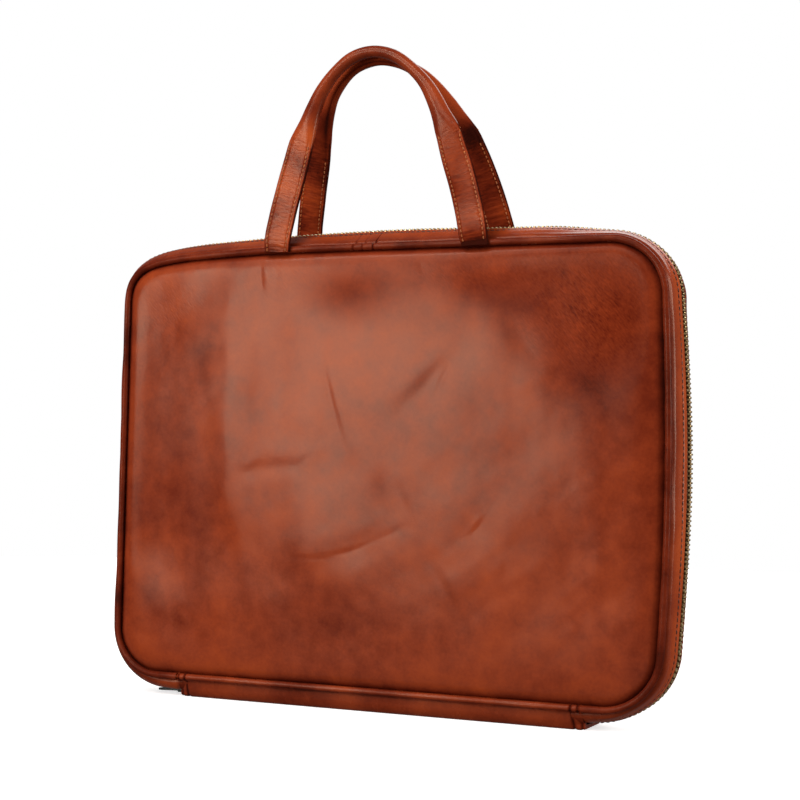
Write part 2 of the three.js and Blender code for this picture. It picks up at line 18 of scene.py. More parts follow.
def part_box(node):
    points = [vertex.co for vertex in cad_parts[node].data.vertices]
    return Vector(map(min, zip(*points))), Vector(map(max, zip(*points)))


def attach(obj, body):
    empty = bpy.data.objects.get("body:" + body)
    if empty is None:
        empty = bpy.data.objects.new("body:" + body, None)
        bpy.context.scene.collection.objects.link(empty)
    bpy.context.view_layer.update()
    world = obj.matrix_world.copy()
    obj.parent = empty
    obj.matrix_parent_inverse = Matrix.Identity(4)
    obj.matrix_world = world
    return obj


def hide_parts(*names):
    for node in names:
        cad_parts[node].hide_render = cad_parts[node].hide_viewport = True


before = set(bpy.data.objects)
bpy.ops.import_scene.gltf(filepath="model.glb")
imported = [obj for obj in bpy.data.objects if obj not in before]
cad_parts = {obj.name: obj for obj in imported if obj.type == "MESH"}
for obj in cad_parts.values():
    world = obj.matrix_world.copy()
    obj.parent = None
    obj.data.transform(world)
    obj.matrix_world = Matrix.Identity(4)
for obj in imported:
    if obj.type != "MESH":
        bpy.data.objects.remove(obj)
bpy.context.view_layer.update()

MM = 0.001
FRONT = -1
BACK = 1
QUARTER = math.pi / 2
SHARP_ANGLE = math.radians(38)
CLEARANCE = 0.3
HIDDEN_SHADE = 0.25

# A soft bell over a distance, and a random field of gentle waves
Bell = namedtuple("Bell", "height place width")
Ripple = namedtuple("Ripple", "height length seed")
WAVES_SUMMED = 24
WAVE_STRETCH = (0.75, 1.4)

# Panels
PANEL_WIDTH = 367
PANEL_HEIGHT = 275
PANEL_MIDDLE_X = -0.8
PANEL_WALL = 1.8
RIGHT_BOW = 3
LEFT_LEAN = 1
SEAM_HEIGHT = 15.9
SEAM_DEPTH = 20
RIM_DEPTH = 18.7
RIM_INSET = 0.1
CURL_HEIGHT = 4.2
CURL_WIDTH = 3.6
PILLOW_HEIGHT = 3.6
PANEL_MIDDLE_Z = SEAM_HEIGHT + PANEL_HEIGHT / 2
FRONT_GRID_STEPS = 120
BACK_GRID_STEPS = 80
RING_CROWDING = 0.25
INNER_SHARES = np.array([0.985, 0.9, 0.6, 0.3, 0.02])
# The panel's edge turned under the piping: out and depth
TURNED_EDGE = np.array([(0.1, 18.25), (0.8, 18.0), (1.6, 17.65), (2.6, 17.4), (2.6, 16.9), (0, 16.9)])

# Corners of the panel as run and rise, and the top edge's droop into the top left one
Corner = namedtuple("Corner", "run rise")
LOW_RIGHT = Corner(34, 34)
HIGH_RIGHT = Corner(33, 33)
HIGH_LEFT = Corner(95, 34)
LOW_LEFT = Corner(29, 28)
DROOP_START = 110
DROOP = 0.9
TOP_LEFT_BENDS = [(16, 4.4), (0.6, 4)]

# Relief of the panels, which fades out at the rim
PANEL_WAVES = [Ripple(0.2, 80, 4), Ripple(0.065, 34, 5), Ripple(0.011, 11, 6)]
BACK_SEEDS = 10
RELIEF_RIM = 9

# Dents of the front panel: middle from the panel's middle, reach along and across, turn in degrees
Dent = namedtuple("Dent", "x z along across turn depth")
FRONT_DENTS = [
    Dent(-28, 38, 44, 11, -75, 0.7),
    Dent(36, 50, 30, 8, 43, 1.0),
    Dent(101, 76, 24, 10, -48, 0.5),
    Dent(72, -37, 14, 10, 10, 0.35),
    Dent(-12, -52, 26, 9, 26, 0.45),
]

# Creases: middle, half length, width, turn in degrees, how far the ends bow aside, depth
Crease = namedtuple("Crease", "x z half width turn bow depth")
FRONT_CREASES = [
    Crease(-28, 42, 33, 1.5, -73, 1.0, 0.34),
    Crease(46, 53, 14, 1.3, 64, -0.8, 0.32),
    Crease(102, 75, 15, 1.5, -52, 0.8, 0.06),
    Crease(-14, -53, 22, 1.5, 17, 3.4, 0.13),
    Crease(14, -41, 17, 2.2, 26, 1.0, 0.09),
    Crease(-38, -58, 20, 1.5, 1, 0.4, 0.08),
    Crease(23, -19, 14, 1.8, -69, 0.6, 0.12),
    Crease(73, -34, 9, 1.2, 52, 0.5, 0.18),
    Crease(55, -78, 27, 2.6, -58, 1.5, 0.14),
    Crease(94, -67, 13, 2.2, -57, 0.8, 0.12),
    Crease(-66, -1, 32, 5.5, 6, -5.0, 0.3),
    Crease(-46, 4, 10, 2.2, 38, 0, 0.14),
    Crease(-84, -2, 9, 2.6, 42, 0, 0.14),
    Crease(-82, 124, 16, 1.6, -82, 0.6, 0.3),
    Crease(-70, 126, 12, 1.5, -86, -0.5, 0.12),
    Crease(30, 128, 10, 1.6, -70, 0.5, 0.1),
]
CREASE_FADE = 1.5
# The soft lip along one side of a crease: share of its depth, and place and width in widths of the crease
LIP = Bell(0.55, 2, 1.8)

# Long folds of the front, past which the leather falls away: middle, half length, turn in degrees,
# how far the ends bow aside, how far the leather falls, over what distance, and how round the fold is
Fold = namedtuple("Fold", "x z half turn bow drop reach soft")
FRONT_FOLDS = [
    Fold(-105, 22, 120, 94, -13, 2.5, 34, 1.4),
    Fold(98, 76, 76, -39, 0, 2.4, 40, 3),
    Fold(148, -28, 66, -90, 0, 0.7, 16, 3),
]
FOLD_WAVER = Ripple(1.6, 60, 8)
FOLD_FADE = 0.4

# Cloudy patches of the hand finish, some of the lighter ones painted sheen: middle, reach each way, and how
# much lighter they are
Patch = namedtuple("Patch", "x z wide high amount")
FRONT_TONE_AND_SHEEN_PATCHES = [
    Patch(144, 44, 26, 36, -0.1),
    # Painted sheen on the lower right
    Patch(136, -66, 30, 34, 0.07),
    Patch(104, -34, 16, 14, 0.08),
    Patch(95, -75, 60, 40, 0.09),
    Patch(177, -10, 9, 60, -0.14),
    Patch(158, 84, 34, 44, -0.12),
    Patch(-22, 106, 32, 18, -0.18),
    Patch(64, 110, 20, 16, -0.14),
    Patch(90, 113, 40, 20, -0.1),
    Patch(-120, 28, 12, 24, 0.15),
    Patch(-124, 70, 10, 26, -0.09),
    # Painted sheen on the top left corner's curl
    Patch(-148, 98, 26, 20, 0.12),
    Patch(-164, 122, 16, 10, 0.14),
    Patch(20, -38, 60, 26, 0.05),
    Patch(-132, -26, 22, 34, -0.13),
    Patch(-142, -60, 10, 24, 0.08),
    Patch(-106, -88, 8, 26, 0.14),
    Patch(-112, -60, 14, 26, -0.08),
    Patch(-160, -30, 18, 26, -0.14),
    Patch(-160, -116, 14, 14, 0.16),
    Patch(-138, -102, 12, 12, -0.12),
    Patch(125, -125, 40, 10, -0.13),
    Patch(-90, -134, 36, 8, 0.12),
    Patch(-47, -97, 44, 18, -0.1),
    Patch(-51, 74, 46, 44, 0.15),
    Patch(65, 67, 40, 26, 0.05),
]
# Places with less gloss, on both panels, and how much less
DULL_PATCHES = [
    Patch(158, 100, 62, 52, 0.26),
    Patch(-20, 114, 34, 18, 0.19),
    Patch(15, 10, 36, 36, 0.05),
    Patch(60, 122, 70, 12, 0.14),
    Patch(96, 92, 22, 22, 0.08),
    Patch(177, -10, 12, 80, 0.14),
    Patch(-172, 0, 10, 90, 0.2),
    Patch(-130, 15, 22, 40, 0.08),
    Patch(6, -9, 6, 9, 0.16),
]
# Places with fine wrinkles, on both panels: the top corners and under the handles
CRINKLE_PATCHES = [
    Patch(140, 96, 34, 34, 1),
    Patch(-150, 104, 26, 24, 0.6),
    Patch(-66, 122, 34, 14, 0.5),
    Patch(60, 122, 40, 14, 0.5),
]
PANEL_SHADE = 0.5
BACK_CLOUDS = Ripple(0.04, 90, 24)
# Painted shade in the groove at the panel's rim, and a faint painted light a little further in, where the
# rim turns down
RIM_PAINTED_SHADE = Bell(0.3, 0, 2.4)
RIM_PAINTED_LIGHT = Bell(0.02, 10, 7)

# Piping
PIPING_RADIUS = 2.2
PIPING_OUT = 2.4
PIPING_SIDES = 18
PIPING_UNEVEN = Ripple(0.07, 26, 31)
PIPING_SIDE_SHIFT = 9
PIPING_SHADE = 0.26
PIPING_CLOUDS = Ripple(0.05, 45, 32)

# Gussets: a dome over the seam, cut at the zip. Bells lie by the distance from the zip's edge.
FOOT_OUT = 3
FOOT_DEPTH = 17.5
GUSSET_WALL = 1.6
GUSSET_EDGE_WALL = 1
ZIP_OPENING = 5
LAP_UNDER_STRIP = 9
GUSSET_OUTER_STEPS = 40
GUSSET_INNER_STEPS = 8
GUSSET_RUN = 12
GUSSET_POINT_STEP = 0.4
GUSSET_UNEVEN = Ripple(0.22, 48, 40)
EDGE_ROUNDING = 0.25
EDGE_LIFT = EDGE_ROUNDING / 3
STITCH_FURROW = Bell(0.28, 3.4, 0.55)
# The shoulder beside the piping lies by the distance from the foot instead
SHOULDER = Bell(0.6, 3.4, 2)
END_FLARE = 1.6
END_FLARE_REACH = 28
# Painted light on the gusset where it faces down beside the base strip's left end
END_PAINTED_LIGHT = 0.42
GUSSET_SHADE = 0.5
GUSSET_CLOUDS = Ripple(0.05, 60, 44)
# Painted highlight on the ridge by the zip's edge, painted shade in the stitch furrow and on the foot beside
# the piping
HEM_PAINTED_HIGHLIGHT = Bell(0.1, 1.4, 1.2)
FURROW_PAINTED_SHADE = Bell(0.12, 3.4, 0.5)
GUSSET_FOOT_PAINTED_SHADE = 0.25
GUSSET_FOOT_SHADE_FADE = 3
CROWN_LIGHT = 0.26
CROWN_LIGHT_SHARES = (0.3, 0.8)
LOOP_STEP = 2.2

# Crown of the dome and squareness of its section round the loop, by curve and the part along it
Crown = namedtuple("Crown", "curve part crown square")
CROWNS = [
    Crown(0, 0, 12.2, 4),
    Crown(0, 0.92, 12.2, 4),
    Crown(1, 0.4, 9, 1.7),
    Crown(2, 0.5, 11.2, 1.2),
    Crown(3, 0.5, 8.2, 1.5),
    Crown(4, 0.21, 13.7, 1.5),
    Crown(4, 0.59, 15.2, 1.5),
    Crown(5, 0.3, 13.3, 1.6),
    Crown(5, 0.72, 12.6, 1.9),
    Crown(6, 0.5, 13, 2),
    Crown(7, 0.6, 12.3, 2.4),
    Crown(8, 0.15, 11.3, 4),
    Crown(8, 1, 11.3, 4),
]
CURVE_STEPS = 600

# Join of the edging near the top middle, and the creases beside it, placed by X
TOP_JOINS = [Bell(0.45, -4, 0.5), Bell(0.2, -11.5, 0.7), Bell(0.26, -18, 0.8)]
JOIN_REACH = 2.4
JOIN_STEPS = 17
JOIN_FADE = 6
# Painted shade in the join and the creases beside it, as deep as they are sunk
JOIN_PAINTED_SHADE = 0.7

# Base strip
STRIP_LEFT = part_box("base_strip")[0].x / MM
STRIP_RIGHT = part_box("base_strip")[1].x / MM
STRIP_WALL = 2.9
STRIP_FLAT_HALF = 13
STRIP_SQUARE = 4
CORD_START = math.radians(250)
CORD_END = math.radians(-30)
CORD_STEPS = 22
STRIP_STEPS = 22
STRIP_INNER_STEPS = 8
STRIP_STEP = 2.5
STRIP_SEAM_INSETS = [1.6, 6.2]
STRIP_SEAMS = [STRIP_LEFT + inset for inset in STRIP_SEAM_INSETS]
STRIP_SEAMS += [STRIP_RIGHT - inset for inset in STRIP_SEAM_INSETS]
STRIP_SEAM = Bell(0.5, 0, 0.75)
STRIP_SEAM_STEPS = 15
STRIP_END_ROUND = Bell(0.7, 0, 0.8)
STRIP_END_FINE = np.linspace(0, 2, 9)
STRIP_END_THINNING = 2
STRIP_THINNING_REACH = 9
# Point numbers of the outer side between which the thinning sets in below the cord
BELOW_CORD = (CORD_STEPS - 2, CORD_STEPS + 5)
STRIP_END_LEAN = 1.4
STRIP_LEAN_REACH = 20
STRIP_UNEVEN = Ripple(0.14, 42, 51)
STRIP_POINT_STEP = 0.8
# Distances out between which the unevenness fades into the flat underside
FLAT_START = (SEAM_HEIGHT - 3, SEAM_HEIGHT - 0.2)
STRIP_SHADE = 0.44
STRIP_INNER_SHADE = 0.2
STRIP_CLOUDS = Ripple(0.04, 55, 52)
# Painted shade in the strip's seams and in the groove under its cord
STRIP_SEAM_PAINTED_SHADE = Bell(0.4, 0, 0.9)
CORD_GROOVE_PAINTED_SHADE = Bell(0.16, 0, 0.9)
STRIP_STRAP_STEP = 0.9

# Zip
TAPE_STEPS = 420
TAPE_WALL = 0.8
TAPE_INNER_DEPTH = 3.2
TAPE_OUTER_DEPTH = 10.5
TAPE_DROP = 2
TAPE_BEND = 0.4
TAPE_BEND_LIFT = 0.1
TOOTH_PITCH = 2.8
TOOTH_MIDDLE = -1.1
# A tooth's rings from the tape to its head: depth, half length along the zip and half height
TOOTH_RINGS = [(3.3, 0.5, 0.8), (3.1, 0.66, 1.1), (1.2, 0.66, 1.16), (-0.2, 0.6, 1.05), (-0.75, 0.36, 0.6)]
TOOTH_CHAMFER = 0.6
FIRST_TOOTH = 1.2
LAST_TOOTH = 1
ZIP_PATH_STEPS = 3000
SLIDER_FROM_STRIP = 7
MERGE_DISTANCE = 1e-6
FLAT_ANGLE = math.radians(2)
EDGE_ANGLE = math.radians(25)
BEVEL_SEGMENTS = 3

# Handles: rise above the seam, half the span, and the size and squareness of the strap's section
HANDLE_MIDDLE_X = -3
HANDLE_SWAY = -5.4
HANDLE_DEPTH = 24.1
LEAN_START = 6
LEAN_POWER = 1.15
HANDLE_SIDES = 64
HANDLE_STEP = 0.9
HANDLE_STATIONS = np.array([
    (0.3, 68.4, 17.4, 3.2, 5),
    (6, 67.8, 18.2, 3.2, 5),
    (22, 64.8, 18.4, 3.4, 5),
    (40, 60.2, 18.4, 3.6, 5),
    (60, 54.2, 18, 4.2, 4.5),
    (69, 51.6, 17, 5.2, 3.6),
    (75, 49.2, 15.4, 7.2, 2.6),
    (81, 46.8, 13.3, 8.6, 2.1),
    (92, 42.2, 10.6, 8.8, 2),
    (104, 35.6, 8.5, 8.6, 2),
    (115, 26, 7.6, 8.6, 2),
    (123.4, 14, 7.6, 8.6, 2),
    (126.6, 0, 7.6, 8.6, 2),
])
# Each handle's depth and reach at the top, how much wider its feet stand and how much higher its tabs go
Lean = namedtuple("Lean", "name side top_depth reach spread lift")
HANDLE_LEANS = [Lean("front_handle", FRONT, 20, 1, 0, 0), Lean("back_handle", BACK, -9.8, 0.978, 2, 5)]
FOOT_TUCK = Bell(1.2, 0, 1.1)
TAB_END = 64
STITCHED_TAB_END = 72
GRIP_START = 82
TAB_FURROW = Bell(0.3, 2.2, 0.7)
FACE_SINE = 0.2
SMALLEST_SHARE = 0.1
# Folds across the tabs: their slant, where they are by rise and by distance from the edge, and how strong
TAB_FOLDS = Ripple(0.07, 3.4, 60)
TAB_FOLD_SLANT = 0.12
TAB_FOLD_PLACE = Bell(1, 22, 26)
TAB_FOLD_EDGE = (0.4, 3)
INNER_FOLDS = 2.2
OUTER_FOLDS = 0.8
HANDLE_UNEVEN = Ripple(0.1, 28, 64)
HANDLE_GIRTH = 6
TAB_EVENNESS = 0.6
GRIP_SEAM_TURN = QUARTER + 0.64
GRIP_SEAM = Bell(0.55, 0, 0.75)
GRIP_STITCH_TURN = 0.36
HANDLE_SHADE = 0.44
HANDLE_CLOUDS = Ripple(0.13, 34, 66)
GRIP_LIGHT = 0.13
# Painted shade in the grip's seam furrow
GRIP_SEAM_PAINTED_SHADE = Bell(0.3, 0, 0.9)
TAB_LIGHT = 0.08
TAB_EDGE_DARKNESS = 0.6
TAB_EDGE_SHARES = (0.93, 0.985)
# Painted shade in the stitch furrows beside the tabs' edges
TAB_LINE_PAINTED_SHADE = Bell(0.12, 2.2, 0.7)
# The front handle's left tab gets a little painted light, and is glossier than the other tabs
LEFT_TAB_PAINTED_LIGHT = 0.06
LEFT_TAB_X = (20, -20)
TAB_DULLNESS = 0.22
INNER_DULLNESS = 0.3
# Painted shade on the tabs' inner faces, and painted shadow under the grip's fold and at the feet
INNER_PAINTED_SHADE = 0.16
GRIP_FOLD_PAINTED_SHADOW = Bell(0.4, 70, 9)
HANDLE_FOOT_PAINTED_SHADOW = Bell(0.4, 0, 4)

# Threads
STITCH_PITCH = 3.6
TAB_STITCH_PITCH = 2.9
STITCH_GAP = 0.7
STITCH_END_GAP = 1
THREAD_RADIUS = 0.42
THREAD_SINK = 0.6
# A stitch's rings: way along it, height in radii, and share of the radius
STITCH_RINGS = [(0, -0.9, 0.5), (0.15, 0, 0.95), (0.5, 0.35, 1), (0.85, 0, 0.95), (1, -0.9, 0.5)]
STITCH_SIDES = 6

# Leather: tones along the shade, patterns and how strong they are
LEATHER_TONES = [
    (0, (58, 20, 13)),
    (0.15, (86, 27, 14)),
    (0.3, (110, 37, 18)),
    (0.5, (136, 51, 24)),
    (0.72, (158, 62, 26)),
    (1, (182, 78, 33)),
]
Noise = namedtuple("Noise", "scale detail distortion")
NOISE_MIDDLE = 0.5
NOISE_RANGE = (0.3, 0.7)
CLOUDS = Noise(22, 3, 0.4)
MOTTLES = Noise(85, 3, 0.15)
SPECKS = Noise(520, 3, 0)
WRINKLES = Noise(1, 3, 0.3)
CLOUD_TONE = 0.55
MOTTLE_TONE = 0.42
SPECK_TONE = 0.2
# Painted shade in the crinkles' furrows and painted light on their ridges
WRINKLE_PAINTED_SHADE = 0.7
PANEL_WRINKLE_SCALE = (240, 1, 1000)
PANEL_WRINKLE_TURN = -48
STRAP_WRINKLE_SCALE = (640, 110, 1)
GRAIN_SCALE = 950
GRAIN_DEPTH = 0.022
# Gloss between two levels as the shade less the dullness goes from one number to another
GLOSS_LEVELS = (0, 0.25)
GLOSS_SHADES = (0.12, 0.52)
GLOSS_TINT = (1, 0.78, 0.58, 1)

# Other materials
WEAVE_TONES = [(0.3, (58, 28, 15)), (0.8, (112, 58, 30)), (1, (138, 78, 42))]
WEAVE_SCALES = {"X": 340, "Y": 420}
WEAVE_TONE = 0.6
WEAVE_DEPTH = 0.12
FUZZ = Noise(260, 2, 0)
ORANGE_THREAD = [(0.25, (130, 60, 22)), (0.75, (208, 114, 46))]
BROWN_THREAD = [(0.25, (58, 24, 13)), (0.75, (96, 42, 20))]
THREAD_CLOUDS = Noise(700, 2, 0)
FIBRES = Noise(2600, 1, 0)
FIBRE_DEPTH = 0.05
BRASS_TONES = [(0.3, (112, 86, 52)), (0.55, (196, 166, 116)), (0.8, (242, 222, 182))]
GUNMETAL_TONES = [(0.3, (34, 35, 33)), (0.6, (58, 60, 57)), (0.85, (92, 94, 88))]
TARNISH = Noise(420, 4, 0.6)
PITS = Noise(1800, 2, 0)
PIT_DEPTH = 0.02
FLOOR_TONES = [(0.3, (240, 240, 239)), (0.7, (246, 246, 245))]
FLOOR_CLOUDS = Noise(3, 2, 0)
WHITE = (1, 1, 1, 1)

# Room: the floor's radius in metres, its points and glow, and the light from all around
FLOOR_RADIUS = 1.6
FLOOR_POINTS = 48
FLOOR_GLOW = 0.66
WORLD_LIGHT = 0.12

# Softboxes: place and aim in metres, size, turn about the aim in degrees, power in watts and tint
Softbox = namedtuple("Softbox", "name place aim wide high turn power tint")
SOFTBOXES = [
    Softbox("window_left", (-0.8, -1.74, 0.35), (0, 0, 0.2), 0.8, 0.7, -18, 12.8, (1, 0.98, 0.95)),
    Softbox("window_top", (-1.05, -1.66, 0.88), (0, 0, 0.25), 0.42, 0.34, 0, 3.6, (1, 0.98, 0.95)),
    Softbox("overhead", (-0.3, -1.5, 1.5), (0, 0, 0.15), 1.7, 1.1, 0, 18, (1, 0.99, 0.97)),
    Softbox("overhead_strip", (-0.2, -1.1, 1.7), (0, 0, 0.3), 1.5, 0.16, 0, 9, (1, 0.98, 0.96)),
    Softbox("right_fill", (1.75, 0, 0.55), (0.15, 0, 0.16), 0.7, 1.1, 0, 20, (1, 1, 1)),
    Softbox("floor_bounce", (0, -0.9, -0.35), (0, 0, 0.05), 1.4, 0.6, 0, 0.9, (1, 0.97, 0.94)),
    Softbox("behind", (0.2, 1.6, 1.5), (0, 0, 0.15), 1.7, 1.1, 0, 11, (1, 0.99, 0.97)),
    Softbox("back_fill", (-0.75, 1.72, 0.4), (0, 0, 0.2), 0.8, 0.7, 18, 11, (1, 0.98, 0.95)),
]
# The light that the leather doesn't mirror
MATT_LIGHT = "back_fill"

# Camera
CAMERA_PLACE = (444.7, -991.1, 158.5)
CAMERA_YAW = math.radians(23.812)
CAMERA_PITCH = math.radians(2.03)
CAMERA_ROLL = math.radians(1.178)
CAMERA_LENS = 76.5
SENSOR_WIDTH = 36


# Small tools for arrays
def eased(where, at, values):
    """Values eased from row to row of a table."""
    i = np.clip(np.searchsorted(at, where), 1, len(at) - 1)
    return values[i - 1] + (values[i] - values[i - 1]) * smoothstep(where, at[i - 1], at[i])


def smoothstep(value, start, end):
    t = np.clip((value - start) / (end - start), 0, 1)
    return t * t * (3 - 2 * t)


def bump_at(distance, width):
    """A soft bell of height 1."""
    return np.exp(-((distance / width) ** 2))


def bell(where, row):
    return row.height * bump_at(where - row.place, row.width)


def waves(x, y, wavelength, seed):
    """A smooth random field of about unit size, made of plane waves in all directions."""
    draw = np.random.default_rng(seed)
    turns = draw.uniform(0, math.tau, WAVES_SUMMED)
    phases = draw.uniform(0, math.tau, WAVES_SUMMED)
    stretches = draw.uniform(*WAVE_STRETCH, WAVES_SUMMED)
    total = np.zeros(np.broadcast(x, y).shape)
    for turn, phase, stretch in zip(turns, phases, stretches):
        way = x * math.cos(turn) + y * math.sin(turn)
        total += np.cos(math.tau * way / (wavelength * stretch) + phase)
    return total * math.sqrt(2 / WAVES_SUMMED)


def ripples(x, y, row, other_seed=0):
    return row.height * waves(x, y, row.length, row.seed + other_seed)


def unit(vectors):
    return vectors / np.linalg.norm(vectors, axis=-1, keepdims=True)


def round_angles(count):
    return np.linspace(0, math.tau, count, endpoint=False)


def running_length(points):
    steps = np.linalg.norm(np.diff(points, axis=0), axis=1)
    return np.concatenate([[0], np.cumsum(steps)])


def along_path(where, lengths, values):
    """Each column of values at other lengths along a path."""
    return np.column_stack([np.interp(where, lengths, column) for column in values.T])


def hermite(where, at, rows):
    """Smooth curves through the rows, upright at both ends."""
    slope = np.gradient(rows, at, axis=0)
    slope[[0, -1], :2] = 0
    i = np.clip(np.searchsorted(at, where) - 1, 0, len(at) - 2)
    span = (at[i + 1] - at[i])[:, None]
    t = (where - at[i])[:, None] / span
    start = rows[i] * (1 + 2 * t) + slope[i] * span * t
    end = rows[i + 1] * (3 - 2 * t) + slope[i + 1] * span * (t - 1)
    return start * (1 - t) ** 2 + end * t**2


# Meshes
def grid_quads(index, closed):
    """Quads between rows of point numbers. closed joins each row's end to its start."""
    if closed:
        index = np.hstack([index, index[:, :1]])
    corners = [index[:-1, :-1], index[:-1, 1:], index[1:, 1:], index[1:, :-1]]
    return np.stack(corners, axis=-1).reshape(-1, 4)


def tube_faces(rows, columns):
    """Faces of a tube through closed rings, with both ends closed."""
    faces = grid_quads(np.arange(rows * columns).reshape(rows, columns), closed=True).tolist()
    faces.append(list(range(columns)))
    faces.append(list(range((rows - 1) * columns, rows * columns)))
    return faces


def copied_faces(faces, points_each, copies):
    """The faces of one small thing repeated for many."""
    return [[i + copy * points_each for i in face] for copy in range(copies) for face in faces]


def outward_normals(mesh):
    shape = bmesh.new()
    shape.from_mesh(mesh)
    bmesh.ops.recalc_face_normals(shape, faces=shape.faces)
    shape.to_mesh(mesh)
    shape.free()


def store(mesh, label, values):
    """Keeps a number or a vector for each point, for the materials to read."""
    values = np.asarray(values, dtype=np.float32)
    if values.ndim == 1:
        mesh.attributes.new(label, "FLOAT", "POINT").data.foreach_set("value", values)
    else:
        mesh.attributes.new(label, "FLOAT_VECTOR", "POINT").data.foreach_set("vector", values.ravel())


def add_object(name, data):
    made = bpy.data.objects.new(name, data)
    bpy.context.scene.collection.objects.link(made)
    return made


def finish_piece(name, mesh, material, replaced=(), body="case"):
    mesh.shade_smooth()
    mesh.set_sharp_from_angle(angle=SHARP_ANGLE)
    mesh.materials.clear()
    mesh.materials.append(material)
    piece = add_object(name, mesh)
    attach(piece, body)
    if replaced:
        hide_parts(*replaced)


def new_piece(name, points, material, slot, replaced=(), faces=None, **fields):
    """A piece with fields for its points. Without faces, its rows of points are the rings of a tube."""
    mesh = bpy.data.meshes.new(name)
    if faces is None:
        faces = tube_faces(*points.shape[:2])
    mesh.from_pydata((np.reshape(points, (-1, 3)) * MM).tolist(), [], faces)
    for label, values in fields.items():
        store(mesh, label, values)
    outward_normals(mesh)
    finish_piece(name, mesh, material, replaced)


# The panel's outline, from the bottom middle to the right, over the top and back
def bezier(*controls):
    degree = len(controls) - 1

    def at(t):
        shares = [math.comb(degree, i) * (1 - t) ** (degree - i) * t**i for i in range(degree + 1)]
        return sum(np.outer(share, control) for share, control in zip(shares, controls))

    return at


def round_corner(x, z, corner, start):
    def at(t):
        angle = start + t * QUARTER
        return np.column_stack([x + corner.run * np.cos(angle), z + corner.rise * np.sin(angle)])

    return at


def outline_curves():
    left = PANEL_MIDDLE_X - PANEL_WIDTH / 2
    right = PANEL_MIDDLE_X + PANEL_WIDTH / 2
    bottom = SEAM_HEIGHT
    top = SEAM_HEIGHT + PANEL_HEIGHT
    start = (PANEL_MIDDLE_X, bottom)
    droop_end = (left + HIGH_LEFT.run, top - DROOP)
    lean_top = (left + LEFT_LEAN, top - HIGH_LEFT.rise)
    bends = [(left + run, top - drop) for run, drop in TOP_LEFT_BENDS]
    bow = (right + 2 * RIGHT_BOW, (bottom + top) / 2)
    return [
        bezier(start, (right - LOW_RIGHT.run, bottom)),
        round_corner(right - LOW_RIGHT.run, bottom + LOW_RIGHT.rise, LOW_RIGHT, -QUARTER),
        bezier((right, bottom + LOW_RIGHT.rise), bow, (right, top - HIGH_RIGHT.rise)),
        round_corner(right - HIGH_RIGHT.run, top - HIGH_RIGHT.rise, HIGH_RIGHT, 0),
        bezier((right - HIGH_RIGHT.run, top), (left + DROOP_START, top), droop_end),
        bezier(droop_end, *bends, lean_top),
        bezier(lean_top, (left, bottom + LOW_LEFT.rise)),
        round_corner(left + LOW_LEFT.run, bottom + LOW_LEFT.rise, LOW_LEFT, math.pi),
        bezier((left + LOW_LEFT.run, bottom), start),
    ]


Loop = namedtuple("Loop", "length x z out_x out_z crown square")


def make_loop():
    share = np.linspace(0, 1, CURVE_STEPS + 1)
    curves = [curve(share) for curve in outline_curves()]
    points = np.vstack([curve[:-1] for curve in curves] + [curves[-1][-1:]])
    length = running_length(points)
    ends = np.concatenate([[0], length[CURVE_STEPS::CURVE_STEPS]])
    tangent = unit(np.gradient(points, length, axis=0))
    at = np.array([ends[row.curve] + (ends[row.curve + 1] - ends[row.curve]) * row.part for row in CROWNS])
    crown = eased(length, at, np.array([row.crown for row in CROWNS], float))
    square = eased(length, at, np.array([row.square for row in CROWNS], float))
    return Loop(length, points[:, 0], points[:, 1], tangent[:, 1], -tangent[:, 0], crown, square)


LOOP = make_loop()
LOOP_LENGTH = LOOP.length[-1]
STRIP_END_RIGHT = STRIP_RIGHT - PANEL_MIDDLE_X
STRIP_END_LEFT = LOOP_LENGTH - (PANEL_MIDDLE_X - STRIP_LEFT)
SLIDER_AT = STRIP_END_LEFT - SLIDER_FROM_STRIP


def stations(lengths):
    return Loop(*(np.interp(lengths, LOOP.length, column) for column in LOOP))


def length_at_top(x):
    """The length along the outline of a place on the top edge."""
    top = np.flatnonzero(LOOP.z > SEAM_HEIGHT + PANEL_HEIGHT - 2 * DROOP)
    return float(np.interp(-x, -LOOP.x[top], LOOP.length[top]))


def place(s, out, depth, side):
    """Points at a distance out from the outline and at a depth, one row for each station."""
    x = s.x[:, None] + s.out_x[:, None] * out
    z = s.z[:, None] + s.out_z[:, None] * out
    return np.stack([x, np.broadcast_to(side * depth, x.shape), z], axis=-1)


def loop_lengths(start, end):
    """Lengths of stations between two places, closer at the joins of the edging."""
    even = np.linspace(start, end, int((end - start) / LOOP_STEP))
    close = np.linspace(-JOIN_REACH, JOIN_REACH, JOIN_STEPS)
    return np.unique(np.concatenate([even, *(length_at_top(join.place) + close for join in TOP_JOINS)]))


def join_depth(lengths):
    """How deep the join and the creases beside it lie in the edging, by length."""
    return sum(bell(lengths, join._replace(place=length_at_top(join.place))) for join in TOP_JOINS)


# Panels
def turned(x, z, row):
    turn = math.radians(row.turn)
    along = (x - row.x) * math.cos(turn) + (z - row.z) * math.sin(turn)
    across = (z - row.z) * math.cos(turn) - (x - row.x) * math.sin(turn)
    return along, across


def dent_depth(x, z, dent):
    along, across = turned(x, z, dent)
    return dent.depth * bump_at(along, dent.along) * bump_at(across, dent.across)


def crease_depth(x, z, crease):
    """A narrow furrow with a soft lip along one side, fading out at both ends."""
    along, across = turned(x, z, crease)
    share = along / crease.half
    fade = np.clip(1 - share**2, 0, 1) ** CREASE_FADE
    widths_off = (across - crease.bow * share**2) / crease.width
    return crease.depth * fade * (bump_at(widths_off, 1) - bell(widths_off, LIP))


